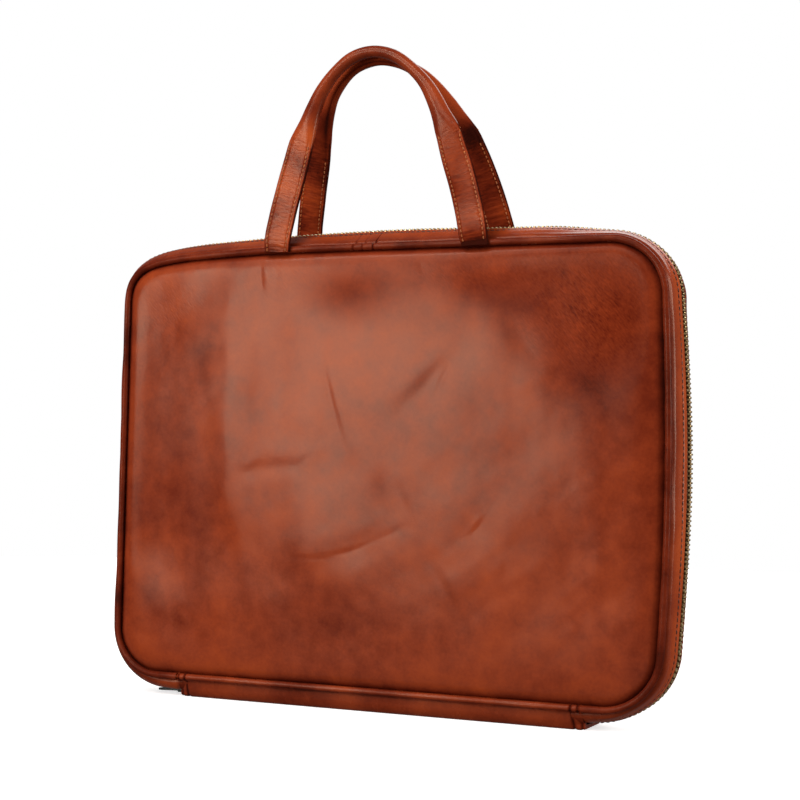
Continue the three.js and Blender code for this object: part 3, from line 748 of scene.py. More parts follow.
def fold_depth(x, z, fold):
    along, across = turned(x, z, fold)
    share = along / fold.half
    off = across - fold.bow * share**2 + ripples(along, 0, FOLD_WAVER)
    past = fold.soft * np.logaddexp(0, off / fold.soft)
    fade = smoothstep(1 - np.abs(share), 0, FOLD_FADE)
    return fold.drop * fade * (1 - np.exp(-past / fold.reach))


def gentle_waves(x, z, other_seed=0):
    return sum(ripples(x, z, row, other_seed) for row in PANEL_WAVES)


def front_relief(x, z):
    relief = gentle_waves(x, z)
    forms = [(dent_depth, FRONT_DENTS), (crease_depth, FRONT_CREASES), (fold_depth, FRONT_FOLDS)]
    for depth_of, rows in forms:
        relief = relief - sum(depth_of(x, z, row) for row in rows)
    return relief


def back_relief(x, z):
    return gentle_waves(x, z, BACK_SEEDS)


def panel_depth(x, z, inset, relief):
    u = 2 * x / (PANEL_WIDTH + RIGHT_BOW)
    v = 2 * z / PANEL_HEIGHT
    curl = CURL_HEIGHT * (1 - np.exp(-inset / CURL_WIDTH))
    pillow = PILLOW_HEIGHT * np.clip(1 - u * u, 0, 1) * np.clip(1 - v * v, 0, 1)
    return RIM_DEPTH + curl + pillow + relief(x, z) * (1 - bump_at(inset, RELIEF_RIM))


def patch_sum(x, z, patches):
    bells = [bump_at(x - patch.x, patch.wide) * bump_at(z - patch.z, patch.high) for patch in patches]
    return sum(patch.amount * height for patch, height in zip(patches, bells))


# Painted shade at the rim's groove, less a faint painted light further in
def rim_painted_shade(inset):
    return bell(inset, RIM_PAINTED_SHADE) - bell(inset, RIM_PAINTED_LIGHT)


def front_shade(x, z, inset):
    return PANEL_SHADE + patch_sum(x, z, FRONT_TONE_AND_SHEEN_PATCHES) - rim_painted_shade(inset)


def back_shade(x, z, inset):
    return PANEL_SHADE + ripples(x, z, BACK_CLOUDS) - rim_painted_shade(inset)


def panel_grid(steps):
    """A square grid wrapped onto the panel, each ring of it a smaller copy of the outline.

    Gives each point's share of the way to the rim, and its length along the outline. The way round a ring
    is counted from 0 to 8, from its bottom middle, with the corners at the odd numbers.
    """
    across, up = np.meshgrid(np.arange(-steps, steps + 1), np.arange(-steps, steps + 1))
    ring = np.maximum(np.abs(across), np.abs(up))
    across = across / np.maximum(ring, 1)
    up = up / np.maximum(ring, 1)
    on_side = [(up == -1) & (across >= 0), across == 1, up == 1, across == -1]
    around = np.select(on_side, [across, 2 + up, 4 - across, 6 - up], 8 + across)
    corners = [LOOP.length[CURVE_STEPS * curve + CURVE_STEPS // 2] for curve in (1, 3, 5, 7)]
    length = np.interp(around, [0, 1, 3, 5, 7, 8], [0, *corners, LOOP_LENGTH])
    share = ring / steps
    return share * (1 + RING_CROWDING - RING_CROWDING * share), length


def rim_ring(steps):
    """Numbers of the grid's outermost points, in the outline's order."""
    size = 2 * steps + 1
    index = np.arange(size * size).reshape(size, size)
    around = [index[0, :-1], index[:-1, -1], index[-1, :0:-1], index[:0:-1, 0]]
    return np.roll(np.concatenate(around), -steps)


def panel_skin(share, length, side, relief, wall):
    """Points a wall's thickness below the panel's face, with X and Z from its middle and the inset."""
    s = stations(length.ravel())
    x = s.x - RIM_INSET * s.out_x - PANEL_MIDDLE_X
    z = s.z - RIM_INSET * s.out_z - PANEL_MIDDLE_Z
    inset = (1 - share.ravel()) * (x * s.out_x + z * s.out_z)
    x = x * share.ravel()
    z = z * share.ravel()
    depth = panel_depth(x, z, inset, relief) - wall
    return np.column_stack([x + PANEL_MIDDLE_X, side * depth, z + PANEL_MIDDLE_Z]), x, z, inset


def panel(name, side, steps, relief, shade_of, material):
    share, length = panel_grid(steps)
    skin, x, z, inset = panel_skin(share, length, side, relief, 0)
    rim = rim_ring(steps)
    rim_length = length.ravel()[rim]
    turned_edge = place(stations(rim_length), *TURNED_EDGE.T[:, None, :], side).swapaxes(0, 1).reshape(-1, 3)
    inner_share, inner_length = np.meshgrid(INNER_SHARES, rim_length, indexing="ij")
    inner_skin = panel_skin(inner_share, inner_length, side, relief, PANEL_WALL)[0]
    hidden = np.vstack([turned_edge, inner_skin])
    hidden_rows = len(skin) + np.arange(len(hidden)).reshape(-1, len(rim))
    size = 2 * steps + 1
    faces = grid_quads(np.arange(size * size).reshape(size, size), closed=False).tolist()
    faces += grid_quads(np.vstack([rim, hidden_rows]), closed=True).tolist()
    faces.append(hidden_rows[-1].tolist())
    hidden_zeros = np.zeros(len(hidden))
    new_piece(
        name + "_leather",
        np.vstack([skin, hidden]),
        material,
        "leather",
        [name],
        faces,
        shade=np.append(shade_of(x, z, inset), hidden_zeros + HIDDEN_SHADE),
        crinkle=np.append(patch_sum(x, z, CRINKLE_PATCHES), hidden_zeros),
        dull=np.append(patch_sum(x, z, DULL_PATCHES), hidden_zeros),
    )


# Edging: piping, gussets and base strip
def strap_field(lengths, across):
    """Coordinates along and across a strip, in metres, one for each point."""
    along, beside = np.broadcast_arrays(np.reshape(lengths, (-1, 1)), across)
    return np.stack([along * MM, beside * MM, np.zeros(along.shape)], axis=-1).reshape(-1, 3)


def piping(word, side, material):
    lengths = loop_lengths(STRIP_END_RIGHT + CLEARANCE, STRIP_END_LEFT - CLEARANCE)
    angle = round_angles(PIPING_SIDES)[None, :]
    uneven = ripples(lengths, PIPING_SIDE_SHIFT * side, PIPING_UNEVEN)
    joined = join_depth(lengths) if side == FRONT else 0
    radius = (PIPING_RADIUS + uneven - joined)[:, None]
    out = PIPING_OUT + radius * np.cos(angle)
    # Painted shade in the join, by its depth
    tone = PIPING_SHADE + ripples(lengths, 0, PIPING_CLOUDS) - JOIN_PAINTED_SHADE * joined
    new_piece(
        word + "_piping_leather",
        place(stations(lengths), out, SEAM_DEPTH + radius * np.sin(angle), side),
        material,
        "leather_edge",
        [word + "_piping"],
        shade=np.repeat(tone, PIPING_SIDES),
        strap=strap_field(lengths, angle * PIPING_RADIUS),
    )


def dome_section(s, angle, inward):
    """Points of the dome's section moved inward, a row for each station."""
    square = s.square[:, None]
    rise = s.crown[:, None] - FOOT_OUT
    out_share = np.sin(angle) ** (2 / square)
    depth_share = np.cos(angle) ** (2 / square)
    normal_out = out_share ** (square - 1) / rise
    normal_depth = depth_share ** (square - 1) / FOOT_DEPTH
    size = np.hypot(normal_out, normal_depth)
    out = FOOT_OUT + rise * out_share - inward * normal_out / size
    depth = FOOT_DEPTH * depth_share - inward * normal_depth / size
    return out, depth


def zip_edge_angle(s):
    return np.arccos((ZIP_OPENING / FOOT_DEPTH) ** (s.square / 2))[:, None]


def distance_from_edge(s, angle):
    out, depth = dome_section(s, angle, 0)
    steps = np.hypot(np.diff(out, axis=1), np.diff(depth, axis=1))
    run = np.cumsum(steps[:, ::-1], axis=1)[:, ::-1]
    return np.hstack([run, np.zeros((len(run), 1))])


# The outer side of a gusset: lengths and stations, shares of the way from foot to zip, angles, distances
Gusset = namedtuple("Gusset", "lengths stations share angle from_edge")


def gusset_outside(start, end):
    lengths = loop_lengths(start, end)
    s = stations(lengths)
    share = np.linspace(0, 1, GUSSET_OUTER_STEPS + 1)[None, :]
    angle = zip_edge_angle(s) * share
    return Gusset(lengths, s, share, angle, distance_from_edge(s, angle))


# The gusset's tone, with painted highlight, painted shade and painted light in it
def gusset_shade(g, joined, near_strip):
    edge = bell(g.from_edge, HEM_PAINTED_HIGHLIGHT) - bell(g.from_edge, FURROW_PAINTED_SHADE)
    foot = GUSSET_FOOT_PAINTED_SHADE * (1 - g.share) ** GUSSET_FOOT_SHADE_FADE
    crown = CROWN_LIGHT * smoothstep(g.share, *CROWN_LIGHT_SHARES)
    tone = GUSSET_SHADE + ripples(g.lengths, 0, GUSSET_CLOUDS)[:, None] - JOIN_PAINTED_SHADE * joined
    return tone + edge - foot + crown + END_PAINTED_LIGHT * near_strip


def gusset(word, side, material):
    g = gusset_outside(STRIP_END_RIGHT - LAP_UNDER_STRIP, STRIP_END_LEFT + LAP_UNDER_STRIP)
    middle = np.sin(math.pi * g.share)
    uneven = ripples(g.lengths[:, None], GUSSET_RUN * g.share, GUSSET_UNEVEN, side) * middle
    joined = join_depth(g.lengths)[:, None] * (1 - g.share**JOIN_FADE) if side == FRONT else 0
    shoulder = bell(g.from_edge[:, :1] - g.from_edge, SHOULDER)
    near_strip = smoothstep(g.lengths, STRIP_END_LEFT - END_FLARE_REACH, STRIP_END_LEFT)[:, None]
    near_strip = near_strip * (g.lengths < STRIP_END_LEFT)[:, None]
    inward = bell(g.from_edge, STITCH_FURROW) + uneven + joined - shoulder - END_FLARE * near_strip * middle
    out, depth = dome_section(g.stations, g.angle, inward)
    inner_share = np.linspace(1, 0, GUSSET_INNER_STEPS + 1)[None, :]
    wall = GUSSET_WALL + (GUSSET_EDGE_WALL - GUSSET_WALL) * inner_share
    inner_out, inner_depth = dome_section(g.stations, zip_edge_angle(g.stations) * inner_share, wall)
    edge_out = (out[:, -1:] + inner_out[:, :1]) / 2 + EDGE_LIFT
    edge_depth = (depth[:, -1:] + inner_depth[:, :1]) / 2 - EDGE_ROUNDING
    ring_out = np.hstack([out, edge_out, inner_out])
    ring_depth = np.hstack([depth, edge_depth, inner_depth])
    hidden = np.full((len(g.lengths), 1 + inner_share.size), HIDDEN_SHADE)
    new_piece(
        word + "_gusset_leather",
        place(g.stations, ring_out, ring_depth, side),
        material,
        "leather_edge",
        [word + "_gusset"],
        shade=np.hstack([gusset_shade(g, joined, near_strip), hidden]).ravel(),
        strap=strap_field(g.lengths, GUSSET_POINT_STEP * np.arange(1, ring_out.shape[1] + 1)),
    )


def gusset_stitches(side):
    """Stitches along the furrow beside the zip."""
    g = gusset_outside(STRIP_END_RIGHT + STITCH_END_GAP, STRIP_END_LEFT - STITCH_END_GAP)
    rows = zip(g.from_edge[:, ::-1], g.angle[:, ::-1])
    at = np.array([np.interp(STITCH_FURROW.place, from_edge, angle) for from_edge, angle in rows])[:, None]
    bottom = place(g.stations, *dome_section(g.stations, at, STITCH_FURROW.height), side)[:, 0]
    above = place(g.stations, *dome_section(g.stations, at, STITCH_FURROW.height - 1), side)[:, 0]
    return stitches_along(bottom, unit(above - bottom), STITCH_PITCH)


def strip_outer_half():
    """Half of the base strip's outer side, from the cord at the seam to the flat underside."""
    cord = np.linspace(CORD_START, CORD_END, CORD_STEPS + 1)
    cord_out = PIPING_OUT + PIPING_RADIUS * np.cos(cord)
    cord_depth = SEAM_DEPTH + PIPING_RADIUS * np.sin(cord)
    side = np.linspace(0, QUARTER, STRIP_STEPS + 1)[1:]
    side_out = cord_out[-1] + (SEAM_HEIGHT - cord_out[-1]) * np.sin(side)
    side_depth = STRIP_FLAT_HALF + (cord_depth[-1] - STRIP_FLAT_HALF) * np.cos(side)
    return np.column_stack([np.append(cord_out, side_out), np.append(cord_depth, side_depth)])


def strip_inner_half():
    crown = SEAM_HEIGHT - STRIP_WALL - CLEARANCE
    flat = Loop(*(np.array([value], float) for value in (0, 0, 0, 0, 0, crown, STRIP_SQUARE)))
    angle = np.linspace(0, QUARTER, STRIP_INNER_STEPS + 1)[None, :]
    return np.column_stack([part[0] for part in dome_section(flat, angle, -CLEARANCE)])


def strip_rings():
    """The strip's outer ring as out and depth, with its outward directions, and its inner ring."""
    mirror = np.array([1, -1])
    outer = strip_outer_half()
    outer_ring = np.vstack([outer, (outer * mirror)[::-1]])
    inner = strip_inner_half()
    inner_ring = np.vstack([inner * mirror, inner[::-1][1:]])
    tangent = unit(np.gradient(outer_ring, axis=0))
    normal = np.column_stack([-tangent[:, 1], tangent[:, 0]])
    from_middle = outer_ring - np.array([SEAM_HEIGHT / 2, 0])
    normal *= np.sign((from_middle * normal).sum(1))[:, None]
    return outer_ring, normal, inner_ring


def strip_places():
    """X of the strip's sections, closer at its seams and ends."""
    even = np.arange(STRIP_LEFT, STRIP_RIGHT, STRIP_STEP)
    close = np.linspace(-JOIN_REACH, JOIN_REACH, STRIP_SEAM_STEPS)
    ends = [STRIP_LEFT + STRIP_END_FINE, STRIP_RIGHT - STRIP_END_FINE]
    x = np.concatenate([even, *(seam + close for seam in STRIP_SEAMS), *ends])
    return np.unique(np.clip(x, STRIP_LEFT, STRIP_RIGHT))


def strip_inward(x, outer_ring):
    """How far the strip's outer side lies inside its plain section."""
    from_end = np.minimum(x - STRIP_LEFT, STRIP_RIGHT - x)
    sunk = sum(bell(x - seam, STRIP_SEAM) for seam in STRIP_SEAMS) + bell(from_end, STRIP_END_ROUND)
    below_cord = smoothstep(np.arange(len(outer_ring) // 2), *BELOW_CORD)
    below_cord = np.append(below_cord, below_cord[::-1])
    thinned = STRIP_END_THINNING * (1 - smoothstep(from_end, 0, STRIP_THINNING_REACH))[:, None] * below_cord
    around = STRIP_POINT_STEP * np.arange(len(outer_ring))
    uneven = STRIP_UNEVEN.height + ripples(x[:, None], around, STRIP_UNEVEN)
    return sunk[:, None] + (uneven + thinned) * (1 - smoothstep(outer_ring[:, 0], *FLAT_START))


def base_strip(material):
    outer_ring, normal, inner_ring = strip_rings()
    x = strip_places()
    outer_rows = outer_ring - strip_inward(x, outer_ring)[:, :, None] * normal
    rows = np.concatenate([outer_rows, np.broadcast_to(inner_ring, (len(x), *inner_ring.shape))], axis=1)
    down = smoothstep(rows[..., 0], PIPING_OUT, SEAM_HEIGHT)
    lean = STRIP_END_LEAN * smoothstep(x, STRIP_RIGHT - STRIP_LEAN_REACH, STRIP_RIGHT)[:, None] * down
    # Painted shade in the groove under the cord and in the seams
    groove_shade = bell(outer_ring[:, 0] - outer_ring[CORD_STEPS, 0], CORD_GROOVE_PAINTED_SHADE)
    seam_shade = sum(bell(x - seam, STRIP_SEAM_PAINTED_SHADE) for seam in STRIP_SEAMS)
    tone = STRIP_SHADE + ripples(x, 0, STRIP_CLOUDS) - seam_shade
    inner_shade = np.full((len(x), len(inner_ring)), STRIP_INNER_SHADE)
    new_piece(
        "base_strip_leather",
        np.stack([x[:, None] + lean, rows[..., 1], SEAM_HEIGHT - rows[..., 0]], axis=-1),
        material,
        "leather_edge",
        ["base_strip"],
        shade=np.hstack([tone[:, None] - groove_shade, inner_shade]).ravel(),
        strap=strap_field(x, STRIP_STRAP_STEP * np.arange(rows.shape[1])),
    )


# Zip
def dome_out(s, depth):
    share = depth / FOOT_DEPTH
    return FOOT_OUT + (s.crown - FOOT_OUT) * (1 - share**s.square) ** (1 / s.square)


def tape(word, side, material):
    lengths = np.linspace(STRIP_END_RIGHT - LAP_UNDER_STRIP, STRIP_END_LEFT + LAP_UNDER_STRIP, TAPE_STEPS)
    s = stations(lengths)
    under = GUSSET_WALL + CLEARANCE
    outer_edge = dome_out(s, TAPE_OUTER_DEPTH) - under - TAPE_DROP
    leather_edge = dome_out(s, ZIP_OPENING) - under
    inner_edge = s.crown - TAPE_DROP + TAPE_WALL / 2
    bend = inner_edge + (leather_edge - inner_edge) * TAPE_BEND + TAPE_BEND_LIFT
    corners = [
        (inner_edge, TAPE_INNER_DEPTH),
        (bend, TAPE_INNER_DEPTH + (ZIP_OPENING - TAPE_INNER_DEPTH) * TAPE_BEND),
        (leather_edge, ZIP_OPENING),
        (outer_edge, TAPE_OUTER_DEPTH),
        (outer_edge - TAPE_WALL, TAPE_OUTER_DEPTH),
        (leather_edge - TAPE_WALL, ZIP_OPENING),
        (inner_edge - TAPE_WALL, TAPE_INNER_DEPTH),
    ]
    out = np.column_stack([corner[0] for corner in corners])
    depth = np.array([[corner[1] for corner in corners]], float)
    new_piece(
        word + "_tape_weave",
        place(s, out, depth, side),
        material,
        "zip_tape",
        [word + "_tape"],
        strap=strap_field(lengths, depth),
    )


def tooth_rings():
    """One tooth as rings of eight points: along the zip, depth and out."""
    rings = []
    for depth, half_long, half_high in TOOTH_RINGS:
        corner = [(half_long, half_high * TOOTH_CHAMFER), (half_long * TOOTH_CHAMFER, half_high)]
        ring = corner + [(-a, b) for a, b in corner[::-1]]
        ring += [(-a, -b) for a, b in corner] + [(a, -b) for a, b in corner[::-1]]
        rings += [(along, depth, TOOTH_MIDDLE + out) for along, out in ring]
    return np.array(rings)


def zip_teeth(material):
    tooth = tooth_rings()
    at = np.arange(STRIP_END_RIGHT + FIRST_TOOTH, SLIDER_AT + LAST_TOOTH, TOOTH_PITCH / 2)
    side = np.where(np.arange(len(at)) % 2, FRONT, BACK)
    length = np.linspace(0, LOOP_LENGTH, ZIP_PATH_STEPS)
    s = stations(length)
    path = place(s, s.crown[:, None], np.zeros((1, 1)), FRONT)[:, 0]
    middle = along_path(at, length, path)
    tangent = unit(along_path(at, length, np.gradient(path, length, axis=0)))
    out = np.column_stack([tangent[:, 2], np.zeros(len(at)), -tangent[:, 0]])
    across = np.column_stack([np.zeros(len(at)), side, np.zeros(len(at))])
    points = (
        middle[:, None]
        + tooth[None, :, :1] * tangent[:, None]
        + tooth[None, :, 1:2] * across[:, None]
        + tooth[None, :, 2:] * out[:, None]
    )
    faces = tube_faces(len(TOOTH_RINGS), len(tooth) // len(TOOTH_RINGS))
    all_faces = copied_faces(faces, len(tooth), len(at))
    new_piece("zip_teeth_brass", points, material, "zip_metal", ["zip_teeth"], all_faces)


def rounded_metal(name, node_name, material, body, rounding):
    """A cast metal piece in the node's place, with its edges rounded."""
    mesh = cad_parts[node_name].data.copy()
    shape = bmesh.new()
    shape.from_mesh(mesh)
    bmesh.ops.remove_doubles(shape, verts=shape.verts, dist=MERGE_DISTANCE)
    bmesh.ops.dissolve_limit(shape, angle_limit=FLAT_ANGLE, verts=shape.verts, edges=shape.edges)
    bmesh.ops.bevel(
        shape,
        geom=[edge for edge in shape.edges if edge.calc_face_angle(0) > EDGE_ANGLE],
        offset=rounding * MM,
        segments=BEVEL_SEGMENTS,
        profile=0.5,
        affect="EDGES",
        clamp_overlap=True,
    )
    shape.to_mesh(mesh)
    shape.free()
    finish_piece(name, mesh, material, [node_name], body)


# Handles
Strap = namedtuple("Strap", "point tangent across thick width wall square rise along")


def handle_strap(lean):
    """The strap's middle line and section, in small steps from the left foot to the right one."""
    height, half, width, wall, square = HANDLE_STATIONS.T
    top = height[-1]
    rise = height + lean.lift * np.sin(math.pi * height / top)
    half = half + lean.spread * (1 - height / top)
    tilt = (np.clip(rise - LEAN_START, 0, None) / (top - LEAN_START)) ** LEAN_POWER
    y = lean.side * (HANDLE_DEPTH + (lean.top_depth - HANDLE_DEPTH) * tilt)
    y = y - lean.side * bell(rise - rise[0], FOOT_TUCK)
    z = SEAM_HEIGHT + PANEL_HEIGHT + rise * (1 + (lean.reach - 1) * tilt)
    middle = HANDLE_MIDDLE_X + HANDLE_SWAY * (rise / top) ** 2
    legs = [np.column_stack([middle + leg * half, y, z, width, wall, square, height]) for leg in (-1, 1)]
    rows = np.vstack([legs[0], legs[1][-2::-1]])
    at = running_length(rows[:, :3])
    along = np.linspace(0, at[-1], int(at[-1] / HANDLE_STEP))
    fine = hermite(along, at, rows)
    tangent = unit(np.gradient(fine[:, :3], along, axis=0))
    thick = unit(np.array([0, 1, 0]) - tangent * tangent[:, 1:2])
    return Strap(fine[:, :3], tangent, np.cross(tangent, thick), thick, *fine[:, 3:].T, along)


def signed_power(value, power):
    return np.sign(value) * np.abs(value) ** power


def strap_section(strap, angle):
    """Offsets across and through the strap, and the outward directions, at angles round its section."""
    half = strap.width[:, None] / 2
    thick = strap.wall[:, None] / 2
    square = strap.square[:, None]
    share_across = signed_power(np.cos(angle), 2 / square)
    share_thick = signed_power(np.sin(angle), 2 / square)
    lean_across = signed_power(share_across, square - 1) / half
    lean_thick = signed_power(share_thick, square - 1) / thick
    size = np.hypot(lean_across, lean_thick)
    return half * share_across, thick * share_thick, lean_across / size, lean_thick / size


def strap_points(strap, angle, inward):
    a, b, lean_a, lean_b = strap_section(strap, angle)
    normal = lean_a[..., None] * strap.across[:, None] + lean_b[..., None] * strap.thick[:, None]
    offset = a[..., None] * strap.across[:, None] + b[..., None] * strap.thick[:, None]
    return strap.point[:, None] + offset - inward[..., None] * normal, normal


def tab_share(strap):
    return 1 - smoothstep(strap.rise, TAB_END, GRIP_START)[:, None]


def tab_stitch_angle(strap):
    """The angle round the section of a line beside the tab's edge."""
    half = strap.width / 2
    share = ((half - TAB_FURROW.place) / half).clip(SMALLEST_SHARE, 1)
    return np.arccos(share ** (strap.square / 2))


def distance_from_seam(strap, angle, side):
    """The distance round the grip from the seam along its upper side."""
    turn = np.angle(np.exp(1j * (angle + side * GRIP_SEAM_TURN)))
    return turn * strap.wall[:, None] / 2


def handle_relief(strap, angle, side):
    tab = tab_share(strap)
    a, b, _, _ = strap_section(strap, angle)
    from_edge = strap.width[:, None] / 2 - np.abs(a)
    furrow = bell(from_edge, TAB_FURROW) * tab * (np.abs(np.sin(angle)) > FACE_SINE)
    folds = tab * ripples(strap.along[:, None], TAB_FOLD_SLANT * a, TAB_FOLDS, side)
    folds = folds * bell(strap.rise[:, None], TAB_FOLD_PLACE) * smoothstep(from_edge, *TAB_FOLD_EDGE)
    folds = folds * np.where(b * side < 0, INNER_FOLDS, OUTER_FOLDS)
    seam = bell(distance_from_seam(strap, angle, side), GRIP_SEAM) * (1 - tab)
    uneven = ripples(strap.along[:, None], HANDLE_GIRTH * np.cos(angle), HANDLE_UNEVEN, side)
    return furrow + folds + seam + uneven * (1 - TAB_EVENNESS * tab)


def handle_finish(strap, angle, lean):
    """Shade and dullness of each point of a handle, the shade with painted light and painted shade in it."""
    tab = tab_share(strap)
    rise = strap.rise[:, None]
    half = strap.width[:, None] / 2
    a, b, _, _ = strap_section(strap, angle)
    left_tab = smoothstep(strap.point[:, :1], *LEFT_TAB_X) if lean.side == FRONT else 0
    edge = TAB_EDGE_DARKNESS * smoothstep(np.abs(a) / half, *TAB_EDGE_SHARES)
    on_tab = TAB_LIGHT + LEFT_TAB_PAINTED_LIGHT * left_tab - edge - bell(half - np.abs(a), TAB_LINE_PAINTED_SHADE)
    on_grip = GRIP_LIGHT - bell(distance_from_seam(strap, angle, lean.side), GRIP_SEAM_PAINTED_SHADE)
    inside = np.where(b * lean.side < 0, 1, 0)
    # Painted shade on the inner faces, under the grip's fold and at the feet
    painted_shade = inside * (INNER_PAINTED_SHADE * tab + bell(rise, GRIP_FOLD_PAINTED_SHADOW)) + bell(rise, HANDLE_FOOT_PAINTED_SHADOW)
    clouds = ripples(strap.along[:, None], a, HANDLE_CLOUDS)
    shade = HANDLE_SHADE + clouds + tab * on_tab + (1 - tab) * on_grip - painted_shade
    return shade, TAB_DULLNESS * tab * (1 - left_tab) + INNER_DULLNESS * inside


def handle(lean, material):
    strap = handle_strap(lean)
    angle = np.tile(round_angles(HANDLE_SIDES), (len(strap.rise), 1))
    shade, dull = handle_finish(strap, angle, lean)
    new_piece(
        lean.name + "_leather",
        strap_points(strap, angle, handle_relief(strap, angle, lean.side))[0],
        material,
        "leather_handle",
        [lean.name],
        shade=shade.ravel(),
        crinkle=np.repeat(tab_share(strap), HANDLE_SIDES),
        dull=dull.ravel(),
        strap=strap_field(strap.along, strap_section(strap, angle)[0]),
    )


def handle_stitches(lean):
    """Lines beside each tab's edges, outside and inside. The outer ones run on to the grip's seam."""
    strap = handle_strap(lean)
    side = lean.side
    grip = 1 - tab_share(strap)[:, 0]
    edge = tab_stitch_angle(strap)
    upper = side * (edge + (GRIP_STITCH_TURN - GRIP_SEAM_TURN - edge) * grip)
    outer = (upper, side * (math.pi - edge), STITCHED_TAB_END)
    inner = (-side * edge, -side * (math.pi - edge), TAB_END)
    sink = np.full((len(edge), 1), TAB_FURROW.height * THREAD_SINK)
    rows = []
    for *angles, end in (outer, inner):
        stitched = np.flatnonzero(strap.rise < end)
        split = int(np.argmax(np.diff(stitched))) + 1
        for leg in (stitched[:split], stitched[split:]):
            for angle in angles:
                points, normals = strap_points(strap, angle[:, None], sink)
                rows.append(stitches_along(points[leg, 0], normals[leg, 0], TAB_STITCH_PITCH))
    return [np.vstack(parts) for parts in zip(*rows)]


# Threads
def stitches_along(path, normals, pitch):
    """Start points, end points and outward directions of the stitches along a path."""
    lengths = running_length(path)
    count = int(lengths[-1] // pitch)
    starts = np.arange(count) * pitch + STITCH_GAP / 2
    ends = starts + pitch - STITCH_GAP
    return (
        along_path(starts, lengths, path),
        along_path(ends, lengths, path),
        unit(along_path((starts + ends) / 2, lengths, normals)),
    )


def thread(name, stitches, material):
    """All the stitches of one seam as one mesh of short arched threads."""
    start, end, normal = stitches
    beside = unit(np.cross(end - start, normal))
    angle = round_angles(STITCH_SIDES)[None, :, None]
    spread = np.cos(angle) * beside[:, None] + np.sin(angle) * normal[:, None]
    rings = []
    for share, height, thin in STITCH_RINGS:
        middle = start + (end - start) * share + normal * (height * THREAD_RADIUS)
        rings.append(middle[:, None] + spread * THREAD_RADIUS * thin)
    points = np.concatenate(rings, axis=1)
    faces = copied_faces(tube_faces(len(STITCH_RINGS), STITCH_SIDES), points.shape[1], len(points))
    new_piece(name, points, material, "zip_tape", faces=faces)


# Materials
def linear(red, green, blue):
    """A colour written in screen values from 0 to 255, as the shader wants it."""
    shares = [value / 255 for value in (red, green, blue)]
    return (*[s / 12.92 if s <= 0.04045 else ((s + 0.055) / 1.055) ** 2.4 for s in shares], 1)


def set_inputs(made, inputs):
    """Sets inputs of a node to numbers, or links them to what other nodes give."""
    for key, value in inputs.items():
        if isinstance(value, bpy.types.NodeSocket):
            made.id_data.links.new(value, made.inputs[key])
        else:
            made.inputs[key].default_value = value


def node(tree, kind, inputs, **settings):
    made = tree.nodes.new("ShaderNode" + kind)
    for key, value in settings.items():
        setattr(made, key, value)
    set_inputs(made, inputs)
    return made


def new_material(name):
    """A new material with its nodes, its shader and the piece's own coordinates."""
    material = bpy.data.materials.new(name)
    material.use_nodes = True
    tree = material.node_tree
    return material, tree, tree.nodes["Principled BSDF"], node(tree, "TexCoord", {}).outputs["Object"]


def field(tree, label, output="Fac"):
    """What store() kept for each point under a label."""
    return node(tree, "Attribute", {}, attribute_name=label).outputs[output]


def noise(tree, where, row):
    inputs = {"Vector": where, "Scale": row.scale, "Detail": row.detail, "Distortion": row.distortion}
    return node(tree, "TexNoise", inputs).outputs["Fac"]


def worked_out(tree, operation, *values):
    return node(tree, "Math", dict(enumerate(values)), operation=operation).outputs[0]


def in_range(tree, value, levels, given=NOISE_RANGE):
    """Goes from one level to the other as the value goes through the given range."""
    ends = zip(("From Min", "From Max", "To Min", "To Max"), (*given, *levels))
    return node(tree, "MapRange", {"Value": value, **dict(ends)}).outputs[0]


def ramp(tree, factor, stops):
    made = node(tree, "ValToRGB", {"Fac": factor})
    elements = made.color_ramp.elements
    while len(elements) < len(stops):
        elements.new(0.5)
    for element, (position, colour) in zip(elements, stops):
        element.position = position
        element.color = linear(*colour)
    return made.outputs["Color"]


def bump(tree, height, distance, below=None):
    inputs = {"Height": height, "Distance": distance * MM, "Strength": 1}
    if below is not None:
        inputs["Normal"] = below
    return node(tree, "Bump", inputs).outputs["Normal"]


def stretched(tree, where, scale, turn=0):
    """Coordinates turned in the upright plane, then scaled."""
    rotation = (0, math.radians(turn), 0)
    spun = node(tree, "Mapping", {"Vector": where, "Rotation": rotation}).outputs["Vector"]
    return node(tree, "Mapping", {"Vector": spun, "Scale": scale}).outputs["Vector"]


def panel_wrinkles(tree, where):
    """Fine lines that run down to the right."""
    return stretched(tree, where, PANEL_WRINKLE_SCALE, PANEL_WRINKLE_TURN)


def strap_wrinkles(tree, where):
    """Fine lines across a strap, by its own coordinates."""
    return stretched(tree, field(tree, "strap", "Vector"), STRAP_WRINKLE_SCALE)


